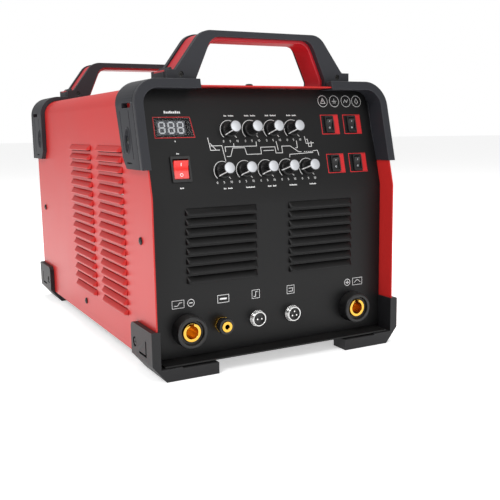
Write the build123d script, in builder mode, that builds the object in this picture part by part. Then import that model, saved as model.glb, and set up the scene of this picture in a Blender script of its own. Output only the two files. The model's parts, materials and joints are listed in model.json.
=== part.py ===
"""Inverter TIG welding machine: a free-standing case with sockets, knobs and switches on its front.

Frame: origin on the ground at the middle of the footprint, +X to the right as seen from the
front, +Y to the back, +Z up. Millimetres.
"""
from build123d import *
from math import atan, cos, degrees, hypot, radians, sin
import os

# ---------------------------------------------------------------- driving dimensions
bumper_skin = 6.0            # how far the corner bumpers stand out of the cover
cover_half = 144.0           # half width of the cover, outside
cover_top = 290.5            # height of the cover's top face
cover_bottom = 15.0          # height of the cover's lower edge
cover_reach = 239.0          # from the middle to the cover's front and back edges
corner_radius = 20.0         # outer radius of the cover's long upper edges
sheet = 1.5                  # thickness of all the sheet metal
bend_height = 182.0          # above this the front leans back
lean = 0.25                  # backward run for each unit of height above the bend
panel_recess = 22.0          # from the cover's edges back to the front and rear panels
gap = 0.3                    # assembly gap between neighbouring pieces
seat = 0.05                  # hairline between a piece and the face that it is screwed to

case_reach = cover_reach + 2.0             # bumper faces, front and back
half_width = cover_half + bumper_skin      # over the bumpers
panel_reach = cover_reach - panel_recess   # panel faces, front and back
cover_inner = cover_half - sheet
panel_half = cover_inner - 2 * gap
lean_angle = degrees(atan(lean))

os.makedirs("parts", exist_ok=True)


# ---------------------------------------------------------------- helpers
def save(piece, label):
    """Name a finished piece and write it to its own file."""
    piece.part.label = label
    export_step(piece.part, f"parts/{label}.step")


def leaning(reach, height, slope=lean):
    """Y of a face that stands at -reach up to the bend and leans back above it."""
    return -reach + slope * max(0.0, height - bend_height)


def panel_spot(x, height):
    """Plane on the front panel's face: local X to the right, local Y up the panel, Z outwards."""
    tilt = radians(lean_angle) if height > bend_height else 0.0
    origin = (x, leaning(panel_reach, height), height)
    return Plane(origin=origin, x_dir=(1, 0, 0), z_dir=(0, -cos(tilt), sin(tilt)))


def rear_spot(x, height):
    """Plane on the rear panel's face, local Z outwards to the back."""
    return Plane(origin=(x, panel_reach, height), x_dir=(-1, 0, 0), z_dir=(0, 1, 0))


def spun(spot, angle):
    """The same plane with its own axes turned counter-clockwise about its normal."""
    turn = radians(angle)
    return Plane(origin=spot.origin, x_dir=spot.x_dir * cos(turn) + spot.y_dir * sin(turn), z_dir=spot.z_dir)


def case_outline(distance):
    """Front view of the case grown by a distance, running down past the ground."""
    half, top = cover_half + distance, cover_top + distance
    with BuildSketch() as outline:
        Rectangle(2 * half, 2 * top)
        fillet(outline.vertices().group_by(Axis.Y)[-1], corner_radius + distance)
    return outline.sketch


def band(outer, inner, low_x, low_z, high_x, high_z):
    """Front view of a band between two distances from the cover's skin, inside a window."""
    with BuildSketch() as view:
        add(case_outline(outer))
        add(case_outline(inner), mode=Mode.SUBTRACT)
        with Locations(((low_x + high_x) / 2, (low_z + high_z) / 2)):
            Rectangle(high_x - low_x, high_z - low_z, mode=Mode.INTERSECT)
    return view.sketch


def crossed_prism(front_view, side_view):
    """Solid that has one outline seen from the front and another seen from the side."""
    with BuildPart() as crossed:
        with BuildSketch(Plane.XZ):
            add(front_view)
        extrude(amount=2 * case_reach, both=True)
        with BuildSketch(Plane.YZ):
            with BuildLine():
                Polyline(*side_view, close=True)
            make_face()
        extrude(amount=2 * half_width, both=True, mode=Mode.INTERSECT)
    return crossed.part


def turned(spot, steps, bores=()):
    """Round piece along a plane's normal: steps and bores are (radius, from, to)."""
    with BuildPart() as round_piece:
        for radius, start, end in steps:
            with BuildSketch(spot.offset(start)):
                Circle(radius)
            extrude(amount=end - start)
        for radius, start, end in bores:
            with BuildSketch(spot.offset(start)):
                Circle(radius)
            extrude(amount=end - start, mode=Mode.SUBTRACT)
    return round_piece.part


def hexagon(spot, across_flats, start, end, bore):
    """Hexagonal piece along a plane's normal with a round hole through it."""
    with BuildPart() as hex_piece:
        with BuildSketch(spot.offset(start)):
            RegularPolygon(across_flats / 2, 6, major_radius=False)
            Circle(bore, mode=Mode.SUBTRACT)
        extrude(amount=end - start)
    return hex_piece.part


def louvre_views(base, out, low, pitch, rows, depth, height):
    """Sections of a column of pressed hoods and of the slots under them, on a sheet's face."""
    hoods, slots = [], []
    for row in range(rows):
        foot = low + row * pitch
        head = foot + height
        hoods.append([(base, head), (base + out * depth, foot), (base - out * gap, foot)])
        inside = base - out * (sheet + gap)
        slots.append([(inside, head - sheet), (base, head - sheet),
                      (base + out * (depth - sheet), foot - gap), (inside, foot - gap)])
    return hoods, slots


def polygons(outlines):
    """Sketch of several closed polygons."""
    with BuildSketch() as view:
        for outline in outlines:
            with BuildLine():
                Polyline(*outline, close=True)
            make_face()
    return view.sketch


# ---------------------------------------------------------------- chassis tray
tray_bottom = cover_bottom - 1.0
tray_flange = 13.0
tray_reach = panel_reach - sheet - gap       # outside of the front and rear flanges
tray_side_reach = tray_reach - 20.0          # the side flanges stop short of the panels' flanges
tray_half = cover_inner - gap
tray_front_half = panel_half - 4 * sheet     # the front and rear flanges fit between the panels' flanges
tray_floor = tray_bottom + sheet
ledge_reach = cover_reach - gap              # the floor runs out under both panels to the cover's edges

with BuildPart() as chassis_tray:
    with BuildSketch(Plane.XY.offset(tray_bottom)):
        Rectangle(2 * tray_front_half, 2 * ledge_reach)
        Rectangle(2 * tray_half, 2 * tray_side_reach)
    extrude(amount=sheet)
    with BuildSketch(Plane.XY.offset(tray_bottom)):
        with Locations((tray_half - sheet / 2, 0), (-tray_half + sheet / 2, 0)):
            Rectangle(sheet, 2 * tray_side_reach)
        with Locations((0, tray_reach - sheet / 2), (0, -tray_reach + sheet / 2)):
            Rectangle(2 * tray_front_half, sheet)
    extrude(amount=tray_flange)
save(chassis_tray, "chassis_tray")

# ---------------------------------------------------------------- cover
louvre_rows = 17
louvre_pitch = 10.8
louvre_low = 52.0
louvre_length = 86.0
louvre_columns = (-157.0, -43.0)             # front ends of the two columns, along the side
side_hood = (4.6, 7.0)                       # depth and height of a hood
end_wall = 1.2                               # thickness of a hood's closed ends
side_screws = ((-205.0, 138.0), (206.0, 138.0), (8.0, 35.5))
lower_bumper_screw = (-190.0, 32.0)
upper_bumper_screw = (-194.0, 237.0)
top_screw_x, top_screw_y = -20.0, -206.0
screw_hole = 2.2
bumper_screws_at = [(sign * y, z) for y, z in (lower_bumper_screw, upper_bumper_screw) for sign in (1, -1)]

with BuildPart() as cover:
    add(crossed_prism(
        band(0, -sheet, -cover_half, cover_bottom, cover_half, cover_top),
        [(-cover_reach, cover_bottom), (cover_reach, cover_bottom), (cover_reach, cover_top),
         (leaning(cover_reach, cover_top), cover_top), (-cover_reach, bend_height)]))
    for side in (-1, 1):
        hoods, slots = louvre_views(side * cover_half, side, louvre_low, louvre_pitch, louvre_rows, *side_hood)
        for start in louvre_columns:
            with BuildSketch(Plane.XZ.offset(-start)):
                add(polygons(hoods))
            extrude(amount=-louvre_length)
            with BuildSketch(Plane.XZ.offset(-start - end_wall)):
                add(polygons(slots))
            extrude(amount=-louvre_length + 2 * end_wall, mode=Mode.SUBTRACT)
    with BuildSketch(Plane.YZ):
        with Locations(*side_screws, *bumper_screws_at):
            Circle(screw_hole)
    extrude(amount=half_width, both=True, mode=Mode.SUBTRACT)
    with BuildSketch(Plane.XY.offset(cover_top)):
        with Locations((top_screw_x, top_screw_y)):
            Circle(screw_hole)
    extrude(amount=-2 * sheet, mode=Mode.SUBTRACT)
save(cover, "cover")

# ---------------------------------------------------------------- front panel
panel_flange = 18.0
panel_bottom = tray_floor + gap
panel_top = cover_top - sheet - gap
front_louvre_rows = 8
front_louvre_pitch = 9.9
front_louvre_low = 92.0
front_louvre_near = 19.75                    # from the middle to a block's inner end
front_louvre_far = 101.0
front_hood = (5.0, 7.2)

knob_pitch = 25.5
upper_knobs = [(-42.0 + index * knob_pitch, 245.5) for index in range(4)]
lower_knobs = [(-55.0 + index * knob_pitch, 204.0) for index in range(5)]
knob_places = upper_knobs + lower_knobs

main_switch_at = (-101.5, 207.3)
mode_switches_at = ((83.2, 250.0), (113.2, 250.0), (84.4, 207.3), (114.0, 207.3))
display_at = (-105.5, 249.0)
display_window = (33.0, 17.0)

weld_socket_x, weld_socket_z = 102.0, 43.5
control_socket_x, control_socket_z = 21.7, 46.0
gas_outlet_at = (-64.0, 45.0)

bushing_hole = 3.6
weld_hole = 14.1
control_hole = 8.0
gas_hole = 5.3


def panel_band(slope, depth):
    """Side view of a panel folded from one sheet and set back by a depth behind its face."""
    heights = (panel_bottom, bend_height, panel_top)
    face = [(leaning(panel_reach, height, slope), height) for height in heights]
    return face + [(y + depth, height) for y, height in reversed(face)]


def folded_panel(slope):
    """Panel with a flange folded back along each side."""
    with BuildPart() as panel:
        with BuildSketch(Plane.YZ):
            with BuildLine():
                Polyline(*panel_band(slope, panel_flange), close=True)
            make_face()
        extrude(amount=panel_half, both=True)
        with BuildSketch(Plane.YZ):
            with BuildLine():
                Polyline(*[(y + sheet, height) for y, height in panel_band(slope, panel_flange)], close=True)
            make_face()
        extrude(amount=panel_half - sheet, both=True, mode=Mode.SUBTRACT)
        with BuildSketch(Plane.XZ):
            add(case_outline(-sheet - 2 * gap))
        extrude(amount=2 * case_reach, both=True, mode=Mode.INTERSECT)
        with BuildSketch(Plane.YZ):
            with Locations(*[(-abs(y), z) for y, z in side_screws]):
                Circle(screw_hole)
        extrude(amount=half_width, both=True, mode=Mode.SUBTRACT)
    return panel.part


def cutout(spot, width, height):
    """Cutter for a rectangular hole through a panel."""
    with BuildPart() as cutter:
        with BuildSketch(spot):
            Rectangle(width, height)
        extrude(amount=2 * sheet, both=True)
    return cutter.part


def drilling(spot, radius):
    """Cutter for a round hole through a panel."""
    return turned(spot, [(radius, -2 * sheet, 2 * sheet)])


# barrels of the two sizes of rocker switch: (width, height) behind the panel
main_barrel = (18.6, 22.8)
mode_barrel = (9.6, 16.4)

with BuildPart() as front_panel:
    add(folded_panel(lean))
    hoods, slots = louvre_views(-panel_reach, -1, front_louvre_low, front_louvre_pitch,
                                front_louvre_rows, *front_hood)
    for start in (-front_louvre_far, front_louvre_near):
        length = front_louvre_far - front_louvre_near
        with BuildSketch(Plane.YZ.offset(start)):
            add(polygons(hoods))
        extrude(amount=length)
        with BuildSketch(Plane.YZ.offset(start + end_wall)):
            add(polygons(slots))
        extrude(amount=length - 2 * end_wall, mode=Mode.SUBTRACT)
    for place in knob_places:
        add(drilling(panel_spot(*place), bushing_hole), mode=Mode.SUBTRACT)
    add(cutout(panel_spot(*main_switch_at), main_barrel[0] + gap, main_barrel[1] + gap), mode=Mode.SUBTRACT)
    for place in mode_switches_at:
        add(cutout(panel_spot(*place), mode_barrel[0] + gap, mode_barrel[1] + gap), mode=Mode.SUBTRACT)
    add(cutout(panel_spot(*display_at), *display_window), mode=Mode.SUBTRACT)
    for side in (-1, 1):
        add(drilling(panel_spot(side * weld_socket_x, weld_socket_z), weld_hole), mode=Mode.SUBTRACT)
        add(drilling(panel_spot(side * control_socket_x, control_socket_z), control_hole), mode=Mode.SUBTRACT)
    add(drilling(panel_spot(*gas_outlet_at), gas_hole), mode=Mode.SUBTRACT)
save(front_panel, "front_panel")

# ---------------------------------------------------------------- rear panel
fan_centre_z = 150.0
fan_size = 120.0
fan_opening = 57.5
fan_screw_pitch = 105.0
fan_screw_hole = 2.3
mains_gland_at = (100.0, 48.0)
gas_inlet_at = (-110.0, 45.0)
earth_stud_at = (55.0, 45.0)
gland_hole = 9.3
earth_hole = 3.2

with BuildPart() as rear_panel:
    add(mirror(folded_panel(0.0), about=Plane.XZ))
    add(drilling(rear_spot(0, fan_centre_z), fan_opening), mode=Mode.SUBTRACT)
    with BuildSketch(rear_spot(0, fan_centre_z)):
        with GridLocations(fan_screw_pitch, fan_screw_pitch, 2, 2):
            Circle(fan_screw_hole)
    extrude(amount=-2 * sheet, mode=Mode.SUBTRACT)
    add(drilling(rear_spot(*mains_gland_at), gland_hole), mode=Mode.SUBTRACT)
    add(drilling(rear_spot(*gas_inlet_at), gas_hole), mode=Mode.SUBTRACT)
    add(drilling(rear_spot(*earth_stud_at), earth_hole), mode=Mode.SUBTRACT)
save(rear_panel, "rear_panel")

# ---------------------------------------------------------------- corner bumpers
bumper_reach = 78.0                # from the middle to a bumper's inner end, on the front
bumper_length = 62.0               # along the side
bumper_face = 1.7                  # thickness in front of the cover's edge
bumper_lip = 1.4                   # thickness of the lip inside the cover
skin_clearance = 0.2
lip_clearance = 0.3
lower_bumper_top = 52.0
foot_width = 32.0
foot_top = 13.4
leg_top = 12.0
chamfer_height, chamfer_width = 17.8, 14.7
upper_bumper_bottom = 209.0
upper_bumper_top = cover_top + bumper_skin
handle_half_foot = 109.0           # outer end of a handle's foot
pocket_margin = 1.0                # room around a handle's foot
recess_radius, recess_depth = 5.2, 2.2
bumper_screw_hole = 2.2
toe_length = 11.0                  # how far the upper bumper's lower back corner is cut away


def side_recess(y, z):
    """Cutter for a recessed screw hole in a left side skin."""
    spot = Plane(origin=(-half_width, y, z), x_dir=(0, 1, 0), z_dir=(-1, 0, 0))
    depth = bumper_skin + sheet
    return turned(spot, [(recess_radius, -recess_depth, gap), (bumper_screw_hole, -depth, gap)])


def lower_bumper():
    """Left front lower corner: side skin, foot, leg along the front and a lip inside the cover."""
    outside, inside = -half_width, -cover_half - skin_clearance
    foot_end = outside + foot_width
    lip_outside = -cover_inner + lip_clearance
    with BuildPart() as bumper:
        with BuildSketch(Plane.XZ.offset(case_reach)):
            with BuildLine():
                Polyline((outside, lower_bumper_top), (outside, chamfer_height), (outside + chamfer_width, 0),
                         (foot_end, 0), (foot_end, foot_top), (inside, foot_top), (inside, lower_bumper_top),
                         close=True)
            make_face()
        extrude(amount=-bumper_length)
        with BuildSketch(Plane.XZ.offset(case_reach)):
            with Locations(((foot_end - bumper_reach) / 2, leg_top / 2)):
                Rectangle(-bumper_reach - foot_end, leg_top)
        extrude(amount=-(case_reach - panel_reach - lip_clearance))
        with BuildSketch(Plane.XZ.offset(case_reach)):
            with Locations(((inside + lip_outside + bumper_lip) / 2, (foot_top + lower_bumper_top) / 2)):
                Rectangle(lip_outside + bumper_lip - inside, lower_bumper_top - foot_top)
        extrude(amount=-bumper_face)
        with BuildSketch(Plane.XZ.offset(case_reach)):
            with Locations((lip_outside + bumper_lip / 2, (foot_top + lower_bumper_top) / 2)):
                Rectangle(bumper_lip, lower_bumper_top - foot_top)
        extrude(amount=-(case_reach - panel_reach - lip_clearance))
        add(side_recess(*lower_bumper_screw), mode=Mode.SUBTRACT)
    return bumper.part


def upper_bumper(slope, back_low, back_high, pocket_from):
    """Left front upper corner, leaning by a slope, with a pocket for a handle's foot."""
    top, bottom = upper_bumper_top, upper_bumper_bottom
    low, high = (leaning(case_reach, height, slope) for height in (bottom, top))
    window = (-half_width, bottom, -bumper_reach, top)
    lip_outer = -sheet - lip_clearance
    lip_inner = lip_outer - bumper_lip
    back_low_y, back_high_y = back_low[0], back_high[0]
    lip_back = [leaning(panel_reach, height, slope) - lip_clearance for height in (bottom, top)]
    with BuildPart() as bumper:
        add(crossed_prism(band(bumper_skin, skin_clearance, *window),
                          [(low, bottom), (high, top), (back_high_y, top), back_high, back_low,
                           (back_low_y - toe_length, bottom)]))
        add(crossed_prism(band(bumper_skin, lip_inner, *window),
                          [(low, bottom), (high, top), (high + bumper_face, top), (low + bumper_face, bottom)]))
        add(crossed_prism(band(lip_outer, lip_inner, *window),
                          [(low, bottom), (high, top), (lip_back[1], top), (lip_back[0], bottom)]))
        with BuildSketch(Plane.XY.offset(cover_top)):
            with Locations((-handle_half_foot - pocket_margin, pocket_from)):
                Rectangle(handle_half_foot, case_reach, align=(Align.MIN, Align.MIN))
        extrude(amount=2 * bumper_skin, mode=Mode.SUBTRACT)
        add(side_recess(*upper_bumper_screw), mode=Mode.SUBTRACT)
    return bumper.part


# ---------------------------------------------------------------- handles
handle_top = 345.5
handle_depth = 44.0
front_handle_y = -201.0            # front face of the front handle
rear_handle_y = 183.0              # front face of the rear handle
shell_depth = 7.0
shell_gap = 0.05
grip_underside = 336.4
handle_foot = cover_top + gap
foot_step = 306.0                  # top of the foot's outer step
leg_outer, leg_inner = 99.5, 74.0  # where the legs leave the foot
grip_outer, grip_inner = 70.0, 57.0
outer_round, inner_round = 20.0, 14.0
leg_base = 298.0
core_inset = 1.6
shell_opening = 3.0                # how much wider the shells' opening is than the core's
handle_screw_x, handle_screw_z = 93.75, 301.5
handle_recess = 2.9
handle_head, handle_hex = 2.0, 1.3       # height of a screw's head, radius of the hex in it

slant_outer = (leg_outer - grip_outer) / (handle_top - foot_step)
slant_inner = (leg_inner - grip_inner) / (grip_underside - leg_base)
stretch_outer, stretch_inner = hypot(1, slant_outer), hypot(1, slant_inner)


def handle_view(inset, opening):
    """Front view of a handle: its outside moved in by an inset, its opening grown by an amount."""
    top, under = handle_top - inset, grip_underside + opening
    outer = [(handle_half_foot, handle_foot), (handle_half_foot, foot_step),
             (leg_outer - inset * stretch_outer, foot_step),
             (grip_outer - inset * (stretch_outer - slant_outer), top)]
    inner = [(grip_inner + opening * (stretch_inner - slant_inner), under),
             (leg_inner + opening * stretch_inner, leg_base),
             (leg_inner + opening * stretch_inner, handle_foot)]
    with BuildSketch() as view:
        with BuildLine():
            Polyline(*outer, *[(-x, z) for x, z in reversed(outer)], close=True)
        make_face()
        fillet(view.vertices().group_by(Axis.Y)[-1], outer_round - inset)
        with BuildSketch(mode=Mode.SUBTRACT) as hole:
            with BuildLine():
                Polyline(*inner, *[(-x, z) for x, z in reversed(inner)], close=True)
            make_face()
            fillet(hole.vertices().group_by(Axis.Y)[-1], inner_round)
    return view.sketch


def handle_layer(inset, opening, start, depth):
    """One layer of a handle, from its front plane back by a depth."""
    with BuildPart() as layer:
        with BuildSketch(Plane.XZ.offset(-start)):
            add(handle_view(inset, opening))
        extrude(amount=-depth)
    return layer.part


def handle_recesses(start, direction):
    """Cutters for the two screw recesses in the face of a shell."""
    with BuildPart() as recesses:
        with BuildSketch(Plane.XZ.offset(-start)):
            with Locations((handle_screw_x, handle_screw_z), (-handle_screw_x, handle_screw_z)):
                Circle(handle_recess)
        extrude(amount=-direction * shell_depth / 2)
    return recesses.part


for label, front in (("front_handle", front_handle_y), ("rear_handle", rear_handle_y)):
    back = front + handle_depth
    with BuildPart() as handle_core:
        add(handle_layer(core_inset, 0.0, front + shell_depth + shell_gap,
                         handle_depth - 2 * (shell_depth + shell_gap)))
    save(handle_core, label + "_core")
    with BuildPart() as handle_shells:
        add(handle_layer(0.0, shell_opening, front, shell_depth))
        add(handle_layer(0.0, shell_opening, back - shell_depth, shell_depth))
        add(handle_recesses(front, 1), mode=Mode.SUBTRACT)
        add(handle_recesses(back, -1), mode=Mode.SUBTRACT)
    save(handle_shells, label + "_shells")

with BuildPart() as handle_screws:
    for face, direction in ((front_handle_y, 1), (front_handle_y + handle_depth, -1),
                            (rear_handle_y, 1), (rear_handle_y + handle_depth, -1)):
        inner_end = face + direction * (shell_depth / 2 - shell_gap)
        for x in (-handle_screw_x, handle_screw_x):
            spot = Plane(origin=(x, inner_end, handle_screw_z), x_dir=(1, 0, 0), z_dir=(0, -direction, 0))
            add(turned(spot, [(handle_recess - gap, 0, handle_head)],
                       [(handle_hex, handle_head / 2, handle_head)]))
save(handle_screws, "handle_screws")

# ---------------------------------------------------------------- bumpers, left made and right mirrored
toe_height, shoulder_height = 220.0, 281.0     # ends of an upper bumper's straight back edge
front_toe, front_shoulder = (-177.0, toe_height), (-157.0, shoulder_height)
rear_inner_y = bumper_length - case_reach
rear_toe, rear_shoulder = (rear_inner_y, toe_height), (rear_inner_y, shoulder_height)
front_pocket = front_handle_y - pocket_margin
rear_pocket = -(rear_handle_y + handle_depth) - pocket_margin
front_bumpers = {
    "front_bumper_bottom": lower_bumper(),
    "front_bumper_top": upper_bumper(lean, front_toe, front_shoulder, front_pocket),
}
for label, left_bumper in front_bumpers.items():
    with BuildPart() as bumper:
        add(left_bumper)
    save(bumper, label + "_left")
    with BuildPart() as bumper:
        add(mirror(left_bumper, about=Plane.YZ))
    save(bumper, label + "_right")

rear_bumpers = {
    "rear_bumpers_bottom": lower_bumper(),
    "rear_bumpers_top": upper_bumper(0.0, rear_toe, rear_shoulder, rear_pocket),
}
for label, left_bumper in rear_bumpers.items():
    turned_back = mirror(left_bumper, about=Plane.XZ)
    with BuildPart() as bumper_pair:
        add(turned_back)
        add(mirror(turned_back, about=Plane.YZ))
    save(bumper_pair, label)

# ---------------------------------------------------------------- screws of the cover and the bumpers
head_radius, head_height = 3.9, 2.0
shank_radius = 2.0
shank_end = 0.8                    # how far a shank ends inside the cover
drive_radius, drive_depth = 1.2, 1.0


def side_screw(side, y, z, distance, through):
    """Pan head screw seated at a distance from the middle, with its shank running inwards."""
    spot = Plane(origin=(side * distance, y, z), x_dir=(0, 1, 0), z_dir=(side, 0, 0))
    return turned(spot, [(head_radius, 0, head_height), (shank_radius, -through, head_height)],
                  [(drive_radius, head_height - drive_depth, head_height)])


with BuildPart() as cover_screws:
    for side in (-1, 1):
        for y, z in side_screws:
            add(side_screw(side, y, z, cover_half, sheet + shank_end))
    top_spot = Plane.XY.offset(cover_top)
    with BuildSketch(top_spot):
        with Locations((top_screw_x, top_screw_y)):
            Circle(head_radius)
    extrude(amount=head_height)
    with BuildSketch(top_spot):
        with Locations((top_screw_x, top_screw_y)):
            Circle(shank_radius)
    extrude(amount=-sheet - shank_end / 2)
save(cover_screws, "cover_screws")

with BuildPart() as bumper_screws:
    for side in (-1, 1):
        for y, z in bumper_screws_at:
            add(side_screw(side, y, z, half_width - recess_depth, bumper_skin - recess_depth + sheet))
save(bumper_screws, "bumper_screws")

# ---------------------------------------------------------------- rocker switches
pivot_depth = 1.0                  # pivot axis behind the panel's face
rocker_tilt = 10.0                 # each side of the middle
pin_radius, pin_clearance = 1.2, 0.05
cavity_depth = 8.0
barrel_floor = 1.2
bezel_height, bezel_corner = 2.2, 1.2
rocker_root = 3.5                  # the rocker's body below its pivot
rocker_hollow = 1.3                # how far the middle of a rocker's face dips
rocker_taper = 0.85                # width of its root against its face
terminal_thickness = 0.8
pin_seat, pin_end = 0.8, 0.5       # how far the pin's bore and the pin reach into the wall
main_bezel, main_cavity, main_button, main_crest = (21.0, 26.3), (16.8, 20.6), (16.0, 18.6), 3.9
main_terminals = [(0, 6), (0, 0), (0, -6)]
mode_bezel, mode_cavity, mode_button, mode_crest = (11.2, 18.4), (8.0, 14.6), (7.4, 12.8), 3.5
mode_terminals = [(0, 4), (0, -4)]


def rocker_switch(place, bezel, barrel, cavity, rocker, crest, terminals):
    """Housing and rocker of a switch. Sizes are (across, up the panel); at rest it is off."""
    spot = panel_spot(*place)
    wall = (barrel[0] - cavity[0]) / 2
    pivot = spot.offset(-pivot_depth)
    across = Plane(origin=pivot.origin, x_dir=spot.y_dir, z_dir=spot.x_dir)
    depth = cavity_depth + barrel_floor
    with BuildPart() as housing:
        with BuildSketch(spot.offset(seat)):
            RectangleRounded(*bezel, bezel_corner)
        extrude(amount=bezel_height)
        with BuildSketch(spot.offset(-depth)):
            Rectangle(*barrel)
        extrude(amount=depth + bezel_height / 2)
        with BuildSketch(spot.offset(-cavity_depth)):
            Rectangle(*cavity)
        extrude(amount=2 * cavity_depth, mode=Mode.SUBTRACT)
        with BuildSketch(across):
            Circle(pin_radius + pin_clearance)
        extrude(amount=cavity[0] / 2 + pin_seat * wall, both=True, mode=Mode.SUBTRACT)
        with BuildSketch(spot.offset(-depth)):
            with Locations(*terminals):
                Rectangle(barrel[0] / 3, terminal_thickness)
        extrude(amount=-2 * cavity_depth / 3)
    tip = rocker[1] / 2
    with BuildPart() as button:
        with BuildSketch(spun(across, rocker_tilt)):
            with BuildLine():
                Polyline((-tip, crest), (0, crest - rocker_hollow), (tip, crest),
                         (rocker_taper * tip, -rocker_root), (-rocker_taper * tip, -rocker_root), close=True)
            make_face()
        extrude(amount=rocker[0] / 2, both=True)
        with BuildSketch(across):
            Circle(pin_radius)
        extrude(amount=cavity[0] / 2 + pin_end * wall, both=True)
    return housing, button


main_housing, main_rocker = rocker_switch(
    main_switch_at, main_bezel, main_barrel, main_cavity, main_button, main_crest, main_terminals)
save(main_housing, "main_switch_housing")
save(main_rocker, "main_switch_rocker")

mode_housings = []
for number, place in enumerate(mode_switches_at, start=1):
    housing, button = rocker_switch(
        place, mode_bezel, mode_barrel, mode_cavity, mode_button, mode_crest, mode_terminals)
    mode_housings.append(housing.part)
    save(button, f"mode_rocker_{number}")
with BuildPart() as mode_switch_housings:
    for housing in mode_housings:
        add(housing)
save(mode_switch_housings, "mode_switch_housings")

# ---------------------------------------------------------------- potentiometers and knobs
pot_radius, pot_depth = 8.0, 9.0
bushing_radius, bushing_top = 3.4, 2.6
spindle_radius, spindle_clearance = 3.0, 0.05
spindle_seat = -6.0
nut_flats, nut_height = 10.0, 2.0
knob_radius, knob_grip_radius = 7.4, 6.6
knob_base, knob_flange, knob_height = 0.6, 3.2, 17.0
knob_flutes = 18
flute_radius = 0.7
cap_radius, cap_recess, cap_height = 5.75, 0.9, 1.3
knob_pocket_radius, knob_pocket = 6.2, 3.4
knob_sweep = 270.0
pointer_angles = [0, knob_sweep, 0, 0, 0, 0, 0, 30, 30]       # turned clockwise from the lowest setting
pointer_width, pointer_length, pointer_rise = 1.0, 1.8, 0.8

with BuildPart() as potentiometers:
    for place in knob_places:
        spot = panel_spot(*place)
        add(turned(spot, [(pot_radius, -sheet - gap - pot_depth, -sheet - gap),
                          (bushing_radius, -sheet - gap, bushing_top)],
                   [(spindle_radius + spindle_clearance, spindle_seat - gap, bushing_top)]))
        add(hexagon(spot, nut_flats, seat, nut_height, bushing_radius + spindle_clearance))
save(potentiometers, "potentiometers")

for number, (place, turned_by) in enumerate(zip(knob_places, pointer_angles), start=1):
    spot = panel_spot(*place)
    pointer = spun(spot, knob_sweep / 2 - turned_by)
    with BuildPart() as knob:
        with BuildSketch(spot.offset(knob_base)):
            Circle(knob_radius)
        extrude(amount=knob_flange - knob_base)
        with BuildSketch(spot.offset(knob_base)):
            Circle(knob_grip_radius)
            with PolarLocations(knob_grip_radius, knob_flutes):
                Circle(flute_radius, mode=Mode.SUBTRACT)
        extrude(amount=knob_height - knob_base)
        with BuildSketch(pointer.offset(knob_base)):
            with Locations((0, knob_radius - pointer_width)):
                Rectangle(pointer_width, pointer_length)
        extrude(amount=knob_flange + pointer_rise - knob_base)
        add(turned(spot, [(cap_radius, knob_height - cap_recess, knob_height + gap),
                          (knob_pocket_radius, 0, knob_pocket),
                          (spindle_radius, 0, knob_height - 2 * cap_recess)]), mode=Mode.SUBTRACT)
        add(turned(spot, [(cap_radius - seat, knob_height - cap_recess + seat,
                           knob_height + cap_height - cap_recess)]))
        add(turned(spot, [(spindle_radius - seat / 2, spindle_seat, knob_height - 2 * cap_recess - seat)]))
    save(knob, f"knob_{number}")

# ---------------------------------------------------------------- display and control board
display_depth = 9.0
lens_size = (42.0, 20.5)
lens_offset = 2.6                  # the lens reaches further to the right than the digits
lens_slant = 3.5
lens_thickness = 1.0
board_clearance = 12.4             # control board's face behind the panel's face
board_thickness = 1.6

display_spot = panel_spot(*display_at)
with BuildPart() as display_module:
    with BuildSketch(display_spot.offset(-display_depth)):
        Rectangle(display_window[0] - 2 * gap, display_window[1] - 2 * gap)
    extrude(amount=display_depth)
save(display_module, "display_module")

with BuildPart() as display_lens:
    with BuildSketch(display_spot.offset(seat)):
        right, half = lens_size[0] / 2 + lens_offset, lens_size[1] / 2
        left = lens_offset - lens_size[0] / 2
        with BuildLine():
            Polyline((left, -half), (right, -half), (right - lens_slant, half), (left, half), close=True)
        make_face()
    extrude(amount=lens_thickness)
save(display_lens, "display_lens")

control_board_at = (5.0, 226.0)
control_board_size = (150.0, 80.0)

with BuildPart() as control_board:
    with BuildSketch(panel_spot(*control_board_at).offset(-board_clearance - board_thickness)):
        Rectangle(*control_board_size)
    extrude(amount=board_thickness)
save(control_board, "control_board")

# ---------------------------------------------------------------- welding sockets
rim_radius, rim_front = 17.0, 15.0
rim_recess_radius, rim_recess_floor = 12.6, 10.6
contact_radius, contact_front, contact_back = 9.75, 12.6, -24.0
plug_radius, plug_depth = 6.6, 27.0
stud_radius, stud_back = 5.0, -38.0
key_width, key_depth = 4.2, 2.2
stud_nut_flats, stud_nut_height = 16.0, 7.0
contact_clearance = 0.05

rim_edge = 1.4
housing_back = -18.0
with BuildPart() as socket_housings:
    for side in (-1, 1):
        spot = panel_spot(side * weld_socket_x, weld_socket_z)
        add(turned(spot, [(rim_radius, seat, rim_front), (weld_hole - gap, housing_back, seat)],
                   [(rim_recess_radius, rim_recess_floor, rim_front),
                    (contact_radius + contact_clearance, housing_back, rim_front)]))
    front_circles = socket_housings.edges().filter_by(GeomType.CIRCLE).group_by(Axis.Y)[0]
    chamfer(front_circles.group_by(SortBy.RADIUS)[-1], rim_edge)
save(socket_housings, "socket_housings")

with BuildPart() as socket_contacts:
    for side in (-1, 1):
        spot = panel_spot(side * weld_socket_x, weld_socket_z)
        add(turned(spot, [(contact_radius, contact_back, contact_front),
                          (stud_radius, stud_back, contact_back)],
                   [(plug_radius, contact_front - plug_depth, contact_front)]))
        with BuildSketch(spot.offset(contact_front - plug_depth / 2)):
            with Locations((0, plug_radius)):
                Rectangle(key_width, 2 * key_depth)
        extrude(amount=plug_depth / 2, mode=Mode.SUBTRACT)
        add(hexagon(spot, stud_nut_flats, contact_back - stud_nut_height, contact_back - contact_clearance,
                    stud_radius + contact_clearance))
save(socket_contacts, "socket_contacts")

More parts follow.
